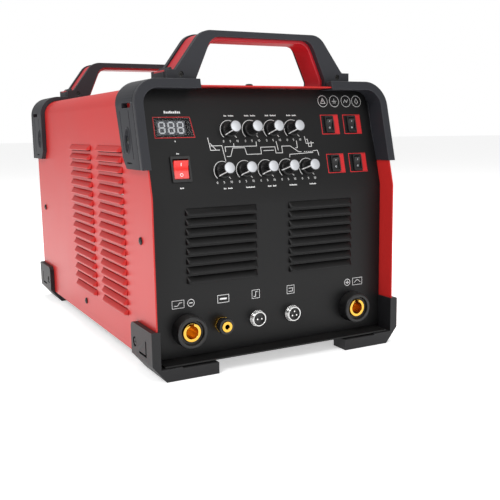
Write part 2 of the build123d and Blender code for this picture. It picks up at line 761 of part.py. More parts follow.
# ---------------------------------------------------------------- control sockets
shell_flange_radius, shell_barrel_radius, shell_bore = 8.9, 7.8, 6.7
shell_front = 8.0
insert_front, insert_back = 4.6, -9.0
pin_length, pin_root = 3.2, 3.0
contact_pin_radius, contact_pin_bore = 0.8, 0.85
shell_flange = 3.2
shell_back = -12.0
control_pins = {-1: [(-2.6, 0), (2.6, 0)], 1: [(-2.6, -1.5), (2.6, -1.5), (0, 2.9)]}

with BuildPart() as control_socket_shells:
    for side in (-1, 1):
        spot = panel_spot(side * control_socket_x, control_socket_z)
        add(turned(spot, [(shell_flange_radius, seat, shell_flange),
                          (shell_barrel_radius, shell_back, shell_front)],
                   [(shell_bore, shell_back, shell_front)]))
save(control_socket_shells, "control_socket_shells")

with BuildPart() as control_socket_inserts:
    for side in (-1, 1):
        spot = panel_spot(side * control_socket_x, control_socket_z)
        add(turned(spot, [(shell_bore - seat, insert_back, insert_front)]))
        with BuildSketch(spot.offset(insert_front)):
            with Locations(*control_pins[side]):
                Circle(contact_pin_bore)
        extrude(amount=-pin_root, mode=Mode.SUBTRACT)
save(control_socket_inserts, "control_socket_inserts")

with BuildPart() as control_socket_pins:
    for side in (-1, 1):
        spot = panel_spot(side * control_socket_x, control_socket_z)
        with BuildSketch(spot.offset(insert_front - pin_root)):
            with Locations(*control_pins[side]):
                Circle(contact_pin_radius)
        extrude(amount=pin_root + pin_length)
save(control_socket_pins, "control_socket_pins")

# ---------------------------------------------------------------- gas outlet with its sliding collar
outlet_spot = panel_spot(*gas_outlet_at)
outlet_stem, outlet_front = 5.6, 16.0
gas_bore = 2.6
hex_flats, hex_front = 15.0, 4.4
thread_back = -12.0                # how far a gas fitting's thread reaches behind its panel
thread_overlap = 1.0
barb_radius = 4.0
barb_back = -26.0
collar_radius = 8.2
collar_from, collar_to = 7.2, 15.0

with BuildPart() as gas_outlet:
    add(hexagon(outlet_spot, hex_flats, seat, hex_front, gas_bore))
    add(turned(outlet_spot, [(outlet_stem, hex_front - thread_overlap, outlet_front),
                             (gas_hole - gap, thread_back, thread_overlap),
                             (barb_radius, barb_back, thread_back + thread_overlap)],
               [(gas_bore, barb_back, outlet_front)]))
save(gas_outlet, "gas_outlet")

with BuildPart() as gas_outlet_collar:
    add(turned(outlet_spot, [(collar_radius, collar_from, collar_to)],
               [(outlet_stem + contact_clearance, collar_from, collar_to)]))
save(gas_outlet_collar, "gas_outlet_collar")

# ---------------------------------------------------------------- fan
fan_depth = 25.0
fan_front = panel_reach - sheet - gap - fan_depth
fan_bore = fan_opening - 1.0
hub_radius, hub_plate, hub_overlap = 20.0, 3.0, 2.0
shaft_radius, shaft_clearance = 2.0, 0.05
blade_count = 7
blade_pitch = 38.0
blade_chord, blade_thickness = 24.0, 1.8
blade_tip = fan_bore - 1.2
frame_corner = 6.0
diagonals = (45.0, 135.0)
fan_plane = Plane(origin=(0, fan_front, fan_centre_z), x_dir=(-1, 0, 0), z_dir=(0, 1, 0))
impeller_from, impeller_to = hub_plate + 2 * gap, fan_depth - 2.2
strut_width = 5.0

with BuildPart() as fan_frame:
    with BuildSketch(fan_plane):
        RectangleRounded(fan_size, fan_size, frame_corner)
        Circle(fan_bore, mode=Mode.SUBTRACT)
        with GridLocations(fan_screw_pitch, fan_screw_pitch, 2, 2):
            Circle(fan_screw_hole, mode=Mode.SUBTRACT)
    extrude(amount=fan_depth)
    with BuildSketch(fan_plane):
        Circle(hub_radius)
        for angle in diagonals:
            Rectangle(2 * fan_bore + sheet, strut_width, rotation=angle)
        Circle(shaft_radius + shaft_clearance, mode=Mode.SUBTRACT)
    extrude(amount=hub_plate)
save(fan_frame, "fan_frame")

with BuildPart() as fan_impeller:
    add(turned(fan_plane, [(hub_radius, impeller_from, impeller_to)]))
    for blade in range(blade_count):
        angle = radians(360.0 * blade / blade_count)
        outwards = Vector(cos(angle), 0, sin(angle))
        middle = Vector(0, fan_front + (impeller_from + impeller_to) / 2, fan_centre_z)
        root = middle + outwards * (hub_radius - hub_overlap)
        with BuildSketch(Plane(origin=root, x_dir=(0, 1, 0), z_dir=outwards)):
            Rectangle(blade_chord, blade_thickness, rotation=blade_pitch)
        extrude(amount=blade_tip - hub_radius + hub_overlap)
    with BuildSketch(fan_plane.offset(impeller_from)):
        Circle(blade_tip)
    extrude(amount=impeller_to - impeller_from, mode=Mode.INTERSECT)
    add(turned(fan_plane, [(shaft_radius, gap, impeller_from + hub_overlap)]))
save(fan_impeller, "fan_impeller")

grille_wire = 1.8
grille_rings = (54.0, 45.0, 36.0, 27.0, 18.0)
grille_eye = 4.5                   # radius of the eyes that the screws go through
grille_spot = rear_spot(0, fan_centre_z).offset(seat)
with BuildPart() as fan_grille:
    with BuildSketch(grille_spot):
        for radius in grille_rings:
            Circle(radius + grille_wire / 2)
            Circle(radius - grille_wire / 2, mode=Mode.SUBTRACT)
        for angle in diagonals:
            Rectangle(hypot(fan_screw_pitch, fan_screw_pitch), 2 * grille_wire, rotation=angle)
        Circle(grille_rings[-1] - grille_wire / 2)
        with GridLocations(fan_screw_pitch, fan_screw_pitch, 2, 2):
            Circle(grille_eye)
        with GridLocations(fan_screw_pitch, fan_screw_pitch, 2, 2):
            Circle(fan_screw_hole, mode=Mode.SUBTRACT)
    extrude(amount=grille_wire)
save(fan_grille, "fan_grille")

fan_head_radius, fan_shank = 3.8, 20.0
fan_head_from = grille_wire + 2 * seat
fan_head_to = fan_head_from + head_height
with BuildPart() as fan_screws:
    for dx in (-fan_screw_pitch / 2, fan_screw_pitch / 2):
        for dz in (-fan_screw_pitch / 2, fan_screw_pitch / 2):
            spot = rear_spot(dx, fan_centre_z + dz)
            add(turned(spot, [(fan_head_radius, fan_head_from, fan_head_to),
                              (shank_radius, -fan_shank, fan_head_to)],
                       [(drive_radius, fan_head_to - drive_depth, fan_head_to)]))
save(fan_screws, "fan_screws")

# ---------------------------------------------------------------- mains gland, gas inlet and earth stud
gland_spot = rear_spot(*mains_gland_at)
cord_hole = 5.5
gland_flats, gland_hex = 24.0, 6.0
dome_radius, dome_end, dome_edge = 10.5, 20.0, 2.0
behind_panel = -sheet - 2 * seat             # where the nuts behind the rear panel end
gland_nut_back, earth_nut_back = -7.5, -6.5
with BuildPart() as mains_gland:
    add(hexagon(gland_spot, gland_flats, seat, gland_hex, cord_hole))
    add(turned(gland_spot, [(dome_radius, gland_hex - thread_overlap, dome_end),
                            (gland_hole - gap, thread_back, thread_overlap)],
               [(cord_hole, thread_back, dome_end)]))
    dome_circles = mains_gland.edges().filter_by(GeomType.CIRCLE).group_by(Axis.Y)[-1]
    chamfer(dome_circles.sort_by(SortBy.RADIUS)[-1], dome_edge)
    add(hexagon(gland_spot, gland_flats, gland_nut_back, behind_panel, gland_hole - gap + seat))
save(mains_gland, "mains_gland")

inlet_spot = rear_spot(*gas_inlet_at)
inlet_radius, inlet_hex, inlet_end = 4.5, 5.0, 22.0
with BuildPart() as gas_inlet:
    add(hexagon(inlet_spot, hex_flats, seat, inlet_hex, gas_bore))
    add(turned(inlet_spot, [(inlet_radius, inlet_hex - thread_overlap, inlet_end),
                            (gas_hole - gap, thread_back, thread_overlap)],
               [(gas_bore, thread_back, inlet_end)]))
save(gas_inlet, "gas_inlet")

earth_spot = rear_spot(*earth_stud_at)
earth_radius, earth_shank = 3.0, 2.5         # the free end, and the thread's core inside the two nuts
earth_nut_flats, earth_nut_front = 10.0, 5.0
earth_back, earth_front = -8.0, 18.0
with BuildPart() as earth_stud:
    # the stud and its two nuts are three solids: a ring terminal goes on the free end
    add(turned(earth_spot, [(earth_shank, earth_back, earth_nut_front),
                            (earth_radius, earth_nut_front, earth_front)]))
    for start, end in ((seat, earth_nut_front - seat), (earth_nut_back, behind_panel)):
        add(hexagon(earth_spot, earth_nut_flats, start, end, earth_shank + seat))
save(earth_stud, "earth_stud")

# ---------------------------------------------------------------- gas valve and hose
valve_front, valve_back = 170.0, panel_reach + thread_back - 2 * seat
valve_width, valve_height = 22.0, 24.0
coil_size, coil_height, coil_corner = 24.0, 32.0, 3.0
inlet_x, inlet_z = gas_inlet_at

with BuildPart() as gas_valve:
    with BuildSketch(Plane.XZ.offset(-valve_front)):
        with Locations((inlet_x, inlet_z)):
            Rectangle(valve_width, valve_height)
            Circle(gas_bore, mode=Mode.SUBTRACT)
    extrude(amount=-(valve_back - valve_front))
    with BuildSketch(Plane.XY.offset(inlet_z + valve_height / 2 + seat)):
        with Locations((inlet_x, (valve_front + valve_back) / 2)):
            RectangleRounded(coil_size, coil_size, coil_corner)
    extrude(amount=coil_height)
save(gas_valve, "gas_valve")

hose_radius = 4.0
hose_bend, hose_turn_y, hose_straight = 22.0, -130.0, 26.0
outlet_x, outlet_z = gas_outlet_at
outlet_end = -panel_reach - barb_back
hose_route = [(inlet_x, valve_front - seat, inlet_z), (inlet_x, hose_turn_y, inlet_z),
              (outlet_x, outlet_end + hose_straight, outlet_z), (outlet_x, outlet_end + seat, outlet_z)]
with BuildPart() as gas_hose:
    with BuildLine() as route:
        FilletPolyline(*hose_route, radius=hose_bend)
    with BuildSketch(Plane(origin=route.line @ 0, z_dir=route.line % 0)):
        Circle(hose_radius)
        Circle(gas_bore, mode=Mode.SUBTRACT)
    sweep(path=route.line)
save(gas_hose, "gas_hose")

# ---------------------------------------------------------------- power electronics
board_height = 100.0
board_half, board_front, board_back = 103.0, -40.0, 150.0
pillar_radius = 4.0
pillar_margin = 5.0
board_middle = (board_front + board_back) / 2

with BuildPart() as power_board:
    with BuildSketch(Plane.XY.offset(board_height)):
        with Locations((0, board_middle)):
            Rectangle(2 * board_half, board_back - board_front)
    extrude(amount=board_thickness)
save(power_board, "power_board")

with BuildPart() as board_pillars:
    with BuildSketch(Plane.XY.offset(tray_floor)):
        with Locations((0, board_middle)):
            with GridLocations(2 * (board_half - pillar_margin),
                               board_back - board_front - 2 * pillar_margin, 2, 2):
                Circle(pillar_radius)
    extrude(amount=board_height - tray_floor)
save(board_pillars, "board_pillars")

capacitor_radius, capacitor_height, capacitor_pitch = 15.0, 45.0, 44.0
with BuildPart() as bus_capacitors:
    with BuildSketch(Plane.XY.offset(board_height + board_thickness)):
        with Locations((0, board_middle)):
            with GridLocations(capacitor_pitch, capacitor_pitch, 2, 3):
                Circle(capacitor_radius)
    extrude(amount=capacitor_height)
save(bus_capacitors, "bus_capacitors")

sink_width, sink_height, sink_base = 78.0, 62.0, 6.0
fin_count, fin_thickness = 9, 2.0
sink_middle = 54.0
sink_front, sink_back = -25.0, 130.0
with BuildPart() as heatsinks:
    with BuildSketch(Plane.XZ.offset(-sink_front)):
        for middle in (-sink_middle, sink_middle):
            with Locations((middle, tray_floor + sink_height - sink_base / 2)):
                Rectangle(sink_width, sink_base)
            with Locations((middle, tray_floor + sink_height / 2)):
                with GridLocations((sink_width - fin_thickness) / (fin_count - 1), 0, fin_count, 1):
                    Rectangle(fin_thickness, sink_height)
    extrude(amount=-(sink_back - sink_front))
save(heatsinks, "heatsinks")

transformer_x, transformer_y = -58.0, -95.0
core_length, core_depth, core_height = 66.0, 30.0, 62.0
limb = 14.0
winding_depth, winding_corner = 50.0, 6.0
with BuildPart() as transformer_core:
    with BuildSketch(Plane.XZ.offset(-transformer_y + core_depth / 2)):
        with Locations((transformer_x, tray_floor + core_height / 2)):
            Rectangle(core_length, core_height)
            Rectangle(core_length - 2 * limb, core_height - 2 * limb, mode=Mode.SUBTRACT)
            Rectangle(limb, core_height)
    extrude(amount=-core_depth)
save(transformer_core, "transformer_core")

with BuildPart() as transformer_winding:
    winding_z = tray_floor + core_height / 2
    with BuildSketch(Plane.XY.offset(winding_z - core_height / 2 + limb + gap)):
        with Locations((transformer_x, transformer_y)):
            RectangleRounded(core_length - 2 * limb - 2 * gap, winding_depth, winding_corner)
            Rectangle(limb + 2 * gap, core_depth + 2 * gap, mode=Mode.SUBTRACT)
    extrude(amount=core_height - 2 * limb - 2 * gap)
save(transformer_winding, "transformer_winding")

choke_x, choke_y = 62.0, -95.0
choke_radius, choke_section = 26.0, 13.0
with BuildPart() as output_choke:
    with Locations((choke_x, choke_y, tray_floor + choke_section)):
        Torus(choke_radius, choke_section)
save(output_choke, "output_choke")
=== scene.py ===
# %% [markdown]
# # An inverter TIG welding machine
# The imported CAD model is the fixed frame: every place and size here comes from it. This lesson
# dresses that frame: pressed louvres, moulded corner bumpers, knobs, prints and paint.

# %% Load the frame
import json
from math import atan, cos, degrees, pi, radians, sin
import bmesh
import bpy
from mathutils import Matrix, Vector


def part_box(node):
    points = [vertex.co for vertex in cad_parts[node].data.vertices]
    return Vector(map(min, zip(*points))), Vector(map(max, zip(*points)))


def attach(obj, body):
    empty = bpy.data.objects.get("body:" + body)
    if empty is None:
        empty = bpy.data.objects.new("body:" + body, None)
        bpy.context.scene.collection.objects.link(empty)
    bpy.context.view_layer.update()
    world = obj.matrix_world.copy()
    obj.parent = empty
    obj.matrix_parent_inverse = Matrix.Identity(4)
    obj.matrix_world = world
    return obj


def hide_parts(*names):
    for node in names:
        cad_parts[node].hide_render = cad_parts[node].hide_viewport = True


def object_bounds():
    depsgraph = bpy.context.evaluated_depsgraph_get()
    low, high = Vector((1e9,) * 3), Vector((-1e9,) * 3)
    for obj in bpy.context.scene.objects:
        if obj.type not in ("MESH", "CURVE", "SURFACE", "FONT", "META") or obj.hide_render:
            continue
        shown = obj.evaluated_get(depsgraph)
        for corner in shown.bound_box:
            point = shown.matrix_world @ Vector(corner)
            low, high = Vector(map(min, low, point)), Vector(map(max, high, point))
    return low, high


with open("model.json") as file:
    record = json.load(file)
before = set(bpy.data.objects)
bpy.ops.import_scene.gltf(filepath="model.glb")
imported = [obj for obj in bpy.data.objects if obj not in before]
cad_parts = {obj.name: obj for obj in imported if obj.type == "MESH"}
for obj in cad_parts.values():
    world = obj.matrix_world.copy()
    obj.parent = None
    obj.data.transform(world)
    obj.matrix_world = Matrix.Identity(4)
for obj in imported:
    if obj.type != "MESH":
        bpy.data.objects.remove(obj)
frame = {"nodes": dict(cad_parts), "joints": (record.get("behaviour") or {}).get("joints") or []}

cad_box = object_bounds()
nodes = frame["nodes"]
MM = 0.001

# %% [markdown]
# ## The camera
# A tripod camera in front of the machine, to its left and a little above it. Blender's camera looks
# along its own -Z, so its axes are built from the yaw, the pitch and a small roll.

# %% Camera
CAMERA_PLACE = Vector((-0.3908, -0.9058, 0.2454))
CAMERA_YAW, CAMERA_PITCH, CAMERA_ROLL = radians(27.78), radians(9.14), radians(-0.95)
CAMERA_LENS = 53.75

forward = Vector((sin(CAMERA_YAW) * cos(CAMERA_PITCH), cos(CAMERA_YAW) * cos(CAMERA_PITCH), -sin(CAMERA_PITCH)))
level_right = Vector((cos(CAMERA_YAW), -sin(CAMERA_YAW), 0.0))
level_up = level_right.cross(forward)
right = level_right * cos(CAMERA_ROLL) + level_up * sin(CAMERA_ROLL)
up = level_up * cos(CAMERA_ROLL) - level_right * sin(CAMERA_ROLL)
camera_data = bpy.data.cameras.new("studio_camera")
camera_data.lens = CAMERA_LENS
camera_data.sensor_width = 36.0
camera = bpy.data.objects.new("studio_camera", camera_data)
camera.matrix_world = Matrix.Translation(CAMERA_PLACE) @ Matrix((right, up, -forward)).transposed().to_4x4()
bpy.context.scene.collection.objects.link(camera)
bpy.context.scene.camera = camera
print("camera", tuple(round(value, 3) for value in camera.location))

# %% [markdown]
# ## Studio light
# A pale sweep of floor, a bright even surround and three large soft lamps. Large lamps give the broad
# highlights that powder coat and moulded plastic show.

# %% Light and floor
def soft_lamp(name, place, target, size, power):
    """A square area lamp aimed at a point."""
    data = bpy.data.lights.new(name, "AREA")
    data.shape = "SQUARE"
    data.size, data.energy = size, power
    lamp = bpy.data.objects.new(name, data)
    aim = (Vector(target) - Vector(place)).to_track_quat("-Z", "Y")
    lamp.matrix_world = Matrix.Translation(place) @ aim.to_matrix().to_4x4()
    bpy.context.scene.collection.objects.link(lamp)
    return lamp


soft_lamp("key_lamp", (-1.5, -1.3, 1.7), (0, 0, 0.15), 0.8, 24.0)
soft_lamp("front_lamp", (0.5, -2.2, 1.0), (0, 0, 0.15), 1.0, 8.0)
soft_lamp("top_lamp", (0.2, 0.3, 2.0), (0, 0, 0.2), 0.9, 30.0)

world = bpy.data.worlds.new("studio_surround")
world.use_nodes = True
surround = world.node_tree.nodes["Background"]
surround.inputs["Color"].default_value = (1.0, 1.0, 1.0, 1.0)
seen = world.node_tree.nodes.new("ShaderNodeLightPath").outputs["Is Camera Ray"]
strength = world.node_tree.nodes.new("ShaderNodeMapRange")
strength.inputs["To Min"].default_value, strength.inputs["To Max"].default_value = 0.42, 1.0
world.node_tree.links.new(seen, strength.inputs["Value"])
world.node_tree.links.new(strength.outputs["Result"], surround.inputs["Strength"])
bpy.context.scene.world = world
bpy.context.scene.view_settings.view_transform = "Standard"


def studio_floor(half, material_name):
    """A wide pale disc just under the feet."""
    mesh = bpy.data.meshes.new("floor")
    ring = [(half * cos(2 * pi * k / 64), half * sin(2 * pi * k / 64), 0.0) for k in range(64)]
    mesh.from_pydata(ring, [], [tuple(range(64))])
    material = bpy.data.materials.new(material_name)
    material.use_nodes = True
    shader = material.node_tree.nodes["Principled BSDF"]
    shader.inputs["Base Color"].default_value = (0.99, 0.99, 0.99, 1.0)
    shader.inputs["Roughness"].default_value = 0.9
    shader.inputs["Emission Color"].default_value = (1.0, 1.0, 1.0, 1.0)
    shader.inputs["Emission Strength"].default_value = 0.5
    mesh.materials.append(material)
    floor = bpy.data.objects.new("floor", mesh)
    floor.location.z = cad_box[0].z - 0.0002
    bpy.context.scene.collection.objects.link(floor)


studio_floor(20.0, "pale_floor")

# %% [markdown]
# ## Helpers for meshes
# A piece is always a plain mesh whose object sits at the origin, so that its place is in its points.

# %% Mesh helpers
def new_piece(name, mesh, body, material, crease=30.0):
    """Make an object of a mesh, shade it smooth between soft edges and let it ride on a body."""
    piece = bpy.data.objects.new(name, mesh)
    bpy.context.scene.collection.objects.link(piece)
    if material is not None:
        mesh.materials.clear()
        mesh.materials.append(material)
    mesh.shade_smooth()
    mesh.set_sharp_from_angle(angle=radians(crease))
    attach(piece, body)
    return piece


def mesh_of(name, points, faces, to_world=None):
    """A mesh from points and faces, moved into place if a matrix is given."""
    mesh = bpy.data.meshes.new(name)
    mesh.from_pydata([tuple(point) for point in points], [], faces)
    if to_world is not None:
        mesh.transform(to_world)
    mesh.update()
    return mesh


def joined(name, meshes):
    """One mesh that holds several."""
    work = bmesh.new()
    for mesh in meshes:
        work.from_mesh(mesh)
    mesh = bpy.data.meshes.new(name)
    work.to_mesh(mesh)
    work.free()
    return mesh


def add_bevel(piece, width, segments=2, angle=35.0):
    """Round the sharp edges of a piece."""
    bevel = piece.modifiers.new("rounded_edges", "BEVEL")
    bevel.width, bevel.segments = width, segments
    bevel.limit_method, bevel.angle_limit = "ANGLE", radians(angle)
    bevel.harden_normals = True
    return bevel


def settled(piece):
    """Replace a piece's mesh by what its modifiers make of it."""
    evaluated = piece.evaluated_get(bpy.context.evaluated_depsgraph_get())
    mesh = bpy.data.meshes.new_from_object(evaluated)
    piece.modifiers.clear()
    piece.data = mesh
    return piece


def cad_copy(node):
    """A clean copy of a CAD node's mesh: points merged and flat areas made whole."""
    work = bmesh.new()
    work.from_mesh(nodes[node].data)
    bmesh.ops.remove_doubles(work, verts=work.verts, dist=0.00001)
    bmesh.ops.dissolve_limit(work, angle_limit=radians(0.6), verts=work.verts, edges=work.edges)
    mesh = bpy.data.meshes.new(node + "_refined")
    work.to_mesh(mesh)
    work.free()
    return mesh


def lathe(name, outline, segments=48, to_world=None):
    """Turn an outline of (radius, height) about the local Z axis; it runs from the bottom to the top."""
    points, rings = [], []
    for radius, height in outline:
        if radius < 1e-7:
            rings.append([len(points)])
            points.append((0.0, 0.0, height))
            continue
        rings.append(list(range(len(points), len(points) + segments)))
        points += [(radius * cos(2 * pi * k / segments), radius * sin(2 * pi * k / segments), height)
                   for k in range(segments)]
    faces = []
    for low, high in zip(rings, rings[1:]):
        for k in range(segments):
            after = (k + 1) % segments
            if len(low) == 1:
                faces.append((low[0], high[after], high[k]))
            elif len(high) == 1:
                faces.append((low[k], low[after], high[0]))
            else:
                faces.append((low[k], low[after], high[after], high[k]))
    return mesh_of(name, points, faces, to_world)


# %% [markdown]
# ## Helpers for node trees
# Geometry and shader trees are written with the same two short calls: one adds a node and wires its
# inputs, the other adds a sum.

# %% Node helpers
class Wiring:
    """Adds nodes to a tree and links them."""

    def __init__(self, tree):
        self.tree = tree

    def put(self, socket, value):
        """Wire a socket to another one, or set its value."""
        if isinstance(value, bpy.types.NodeSocket):
            self.tree.links.new(value, socket)
        else:
            socket.default_value = value

    def node(self, kind, inputs=None, **settings):
        """A node with its settings made and its inputs wired."""
        made = self.tree.nodes.new(kind)
        for key, value in settings.items():
            setattr(made, key, value)
        for key, value in (inputs or {}).items():
            self.put(made.inputs[key], value)
        return made

    def maths(self, operation, *values):
        """One sum; gives back its result."""
        return self.node("ShaderNodeMath", dict(enumerate(values)), operation=operation).outputs[0]

    def end_geometry(self, shape, material, group_output):
        """Make copies real, give them their finish and hand them out."""
        real = self.node("GeometryNodeRealizeInstances", {0: shape})
        finished = self.node("GeometryNodeSetMaterial", {"Geometry": real.outputs[0], "Material": material})
        self.put(group_output.inputs[0], finished.outputs[0])


def new_tree(name, kind, inputs, outputs):
    """A node group with named inputs (name, socket type, default) and outputs (name, socket type)."""
    tree = bpy.data.node_groups.new(name, kind)
    for label, socket, default in inputs:
        made = tree.interface.new_socket(label, in_out="INPUT", socket_type=socket)
        if default is not None:
            made.default_value = default
    for label, socket in outputs:
        tree.interface.new_socket(label, in_out="OUTPUT", socket_type=socket)
    return tree


FLOAT, GEOMETRY, INTEGER, MATERIAL = (
    "NodeSocketFloat", "NodeSocketGeometry", "NodeSocketInt", "NodeSocketMaterial")


def made_by(tree, name, settings, base=None):
    """Run a Geometry Nodes tree once and keep the result as a plain mesh."""
    carrier = bpy.data.objects.new(name + "_carrier", base or bpy.data.meshes.new(name + "_base"))
    bpy.context.scene.collection.objects.link(carrier)
    modifier = carrier.modifiers.new("maker", "NODES")
    modifier.node_group = tree
    sockets = {item.name: item.identifier for item in tree.interface.items_tree if item.in_out == "INPUT"}
    for label, value in settings.items():
        modifier[sockets[label]] = value
    carrier.update_tag()
    bpy.context.view_layer.update()
    evaluated = carrier.evaluated_get(bpy.context.evaluated_depsgraph_get())
    mesh = bpy.data.meshes.new_from_object(evaluated)
    mesh.name = name
    bpy.data.objects.remove(carrier)
    return mesh

# %% [markdown]
# ## Effects that several finishes share
# Powder coat and moulded plastic both show a fine skin texture, lighter edges where hands and
# floors rub them, and a little dust on what faces up. Each effect is one shader group that gives out
# a mask or a height, so that every material can mix it in with its own strength.

# %% Shared shader groups
def skin_group():
    """Fine bumps and a slow unevenness, both from the object's own coordinates."""
    tree = new_tree("fine_skin", "ShaderNodeTree", [("Grain size", FLOAT, 0.001), ("Cloud size", FLOAT, 0.08)],
                    [("Height", FLOAT), ("Clouds", FLOAT)])
    w = Wiring(tree)
    given, given_back = w.node("NodeGroupInput"), w.node("NodeGroupOutput")
    place = w.node("ShaderNodeTexCoord").outputs["Object"]
    grain = w.node("ShaderNodeTexNoise", {"Vector": place, "Detail": 3.0, "Roughness": 0.6,
                                          "Scale": w.maths("DIVIDE", 1.0, given.outputs["Grain size"])})
    clouds = w.node("ShaderNodeTexNoise", {"Vector": place, "Detail": 4.0, "Roughness": 0.55,
                                           "Scale": w.maths("DIVIDE", 1.0, given.outputs["Cloud size"])})
    w.put(given_back.inputs["Height"], grain.outputs["Fac"])
    w.put(given_back.inputs["Clouds"], clouds.outputs["Fac"])
    return tree


def wear_group():
    """Where an edge is sharp: the rounded normal leaves the true one. Broken up by noise."""
    tree = new_tree("rubbed_edges", "ShaderNodeTree", [("Width", FLOAT, 0.0012), ("Amount", FLOAT, 0.5)],
                    [("Mask", FLOAT)])
    w = Wiring(tree)
    given, given_back = w.node("NodeGroupInput"), w.node("NodeGroupOutput")
    rounded = w.node("ShaderNodeBevel", {"Radius": given.outputs["Width"]}, samples=4)
    true_normal = w.node("ShaderNodeNewGeometry").outputs["Normal"]
    alike = w.node("ShaderNodeVectorMath", {0: rounded.outputs[0], 1: true_normal}, operation="DOT_PRODUCT")
    edge = w.maths("MULTIPLY", w.maths("SUBTRACT", 1.0, alike.outputs["Value"]), 5.0)
    place = w.node("ShaderNodeTexCoord").outputs["Object"]
    patches = w.node("ShaderNodeTexNoise", {"Vector": place, "Scale": 160.0, "Detail": 5.0})
    broken = w.maths("MULTIPLY", edge, w.maths("MULTIPLY", patches.outputs["Fac"], patches.outputs["Fac"]))
    strength = w.node("ShaderNodeMath", {0: broken, 1: given.outputs["Amount"]}, operation="MULTIPLY",
                      use_clamp=True)
    w.put(given_back.inputs["Mask"], strength.outputs[0])
    return tree


def dust_group():
    """A thin uneven film on what faces up."""
    tree = new_tree("settled_dust", "ShaderNodeTree", [("Amount", FLOAT, 0.2)], [("Mask", FLOAT)])
    w = Wiring(tree)
    given, given_back = w.node("NodeGroupInput"), w.node("NodeGroupOutput")
    facing = w.node("ShaderNodeSeparateXYZ", {0: w.node("ShaderNodeNewGeometry").outputs["Normal"]})
    upward = w.node("ShaderNodeMapRange", {"Value": facing.outputs["Z"], "From Min": 0.3, "From Max": 1.0})
    place = w.node("ShaderNodeTexCoord").outputs["Object"]
    drift = w.node("ShaderNodeTexNoise", {"Vector": place, "Scale": 22.0, "Detail": 6.0, "Roughness": 0.65})
    film = w.maths("MULTIPLY", w.maths("MULTIPLY", upward.outputs["Result"], drift.outputs["Fac"]),
                   given.outputs["Amount"])
    w.put(given_back.inputs["Mask"], film)
    return tree


SKIN, WEAR, DUST = skin_group(), wear_group(), dust_group()


def finish(name, colour, roughness, metallic=0.0, grain=0.1, grain_size=0.0012, cloud=0.06, cloud_size=0.08,
           wear=0.25, worn=(0.5, 0.5, 0.5), dust=0.06, coat=0.0, coat_roughness=0.1, specular=0.5):
    """A painted, moulded or plated finish. colour and worn are linear."""
    material = bpy.data.materials.new(name)
    material.use_nodes = True
    w = Wiring(material.node_tree)
    shader = material.node_tree.nodes["Principled BSDF"]
    skin = w.node("ShaderNodeGroup", node_tree=SKIN)
    skin.inputs["Grain size"].default_value = grain_size
    skin.inputs["Cloud size"].default_value = cloud_size
    darker = tuple(channel * (1.0 - cloud) for channel in colour) + (1.0,)
    lighter = tuple(min(1.0, channel * (1.0 + cloud)) for channel in colour) + (1.0,)
    base = w.node("ShaderNodeMix", {"Factor": skin.outputs["Clouds"]}, data_type="RGBA")
    base.inputs["A"].default_value, base.inputs["B"].default_value = darker, lighter
    tone = base.outputs["Result"]
    if wear:
        rubbed = w.node("ShaderNodeGroup", node_tree=WEAR)
        rubbed.inputs["Amount"].default_value = wear
        worn_mix = w.node("ShaderNodeMix", {"Factor": rubbed.outputs["Mask"]}, data_type="RGBA")
        w.put(worn_mix.inputs["A"], tone)
        worn_mix.inputs["B"].default_value = worn + (1.0,)
        tone = worn_mix.outputs["Result"]
    rough = w.node("ShaderNodeMapRange", {"Value": skin.outputs["Clouds"], "To Min": roughness * 0.88,
                                          "To Max": min(1.0, roughness * 1.12)}).outputs["Result"]
    if dust:
        film = w.node("ShaderNodeGroup", node_tree=DUST)
        film.inputs["Amount"].default_value = dust
        dusty = w.node("ShaderNodeMix", {"Factor": film.outputs["Mask"]}, data_type="RGBA")
        w.put(dusty.inputs["A"], tone)
        dusty.inputs["B"].default_value = (0.55, 0.53, 0.5, 1.0)
        tone = dusty.outputs["Result"]
        rough = w.maths("ADD", rough, film.outputs["Mask"])
    w.put(shader.inputs["Base Color"], tone)
    w.put(shader.inputs["Roughness"], rough)
    bump = w.node("ShaderNodeBump", {"Height": skin.outputs["Height"], "Strength": grain, "Distance": 0.0002})
    w.put(shader.inputs["Normal"], bump.outputs["Normal"])
    shader.inputs["Metallic"].default_value = metallic
    shader.inputs["Coat Weight"].default_value = coat
    shader.inputs["Coat Roughness"].default_value = coat_roughness
    shader.inputs["Specular IOR Level"].default_value = specular
    return material


def srgb(red, green, blue):
    """Linear colour from the familiar 0 to 255 values."""
    return tuple((value / 255 / 12.92) if value <= 10 else ((value / 255 + 0.055) / 1.055) ** 2.4
                 for value in (red, green, blue))


# %% [markdown]
# ## Finishes
# The cover is gloss red powder coat, the panels are satin black powder coat. The bumpers and the
# handle shells are dark grey moulded plastic, finely textured and rubbed lighter along their edges.

# %% Finishes
red_coat = finish("red_powder_coat", srgb(192, 40, 38), 0.36, grain=0.10, cloud=0.05, wear=0.10,
                  worn=srgb(235, 120, 110), coat=0.06, coat_roughness=0.2, dust=0.0, specular=0.28)
black_coat = finish("black_powder_coat", srgb(8, 8, 9), 0.45, specular=0.3, grain=0.16, grain_size=0.0009,
                    cloud=0.12, wear=0.12, worn=srgb(90, 90, 90), dust=0.03)
charcoal = finish("charcoal_moulding", srgb(36, 37, 42), 0.52, specular=0.35, grain=0.35, grain_size=0.0007,
                  wear=0.35, worn=srgb(120, 122, 128), dust=0.08)
bumper_black = finish("black_moulding", srgb(22, 22, 24), 0.5, specular=0.35, grain=0.35,
                      grain_size=0.0007, wear=0.35, worn=srgb(105, 105, 108), dust=0.06)
handle_red = finish("red_moulding", srgb(176, 14, 30), 0.4, grain=0.12, wear=0.12,
                    worn=srgb(235, 90, 95), dust=0.04)
screw_black = finish("black_oxide", srgb(22, 22, 23), 0.34, metallic=0.6, wear=0.8, worn=srgb(120, 118, 112))
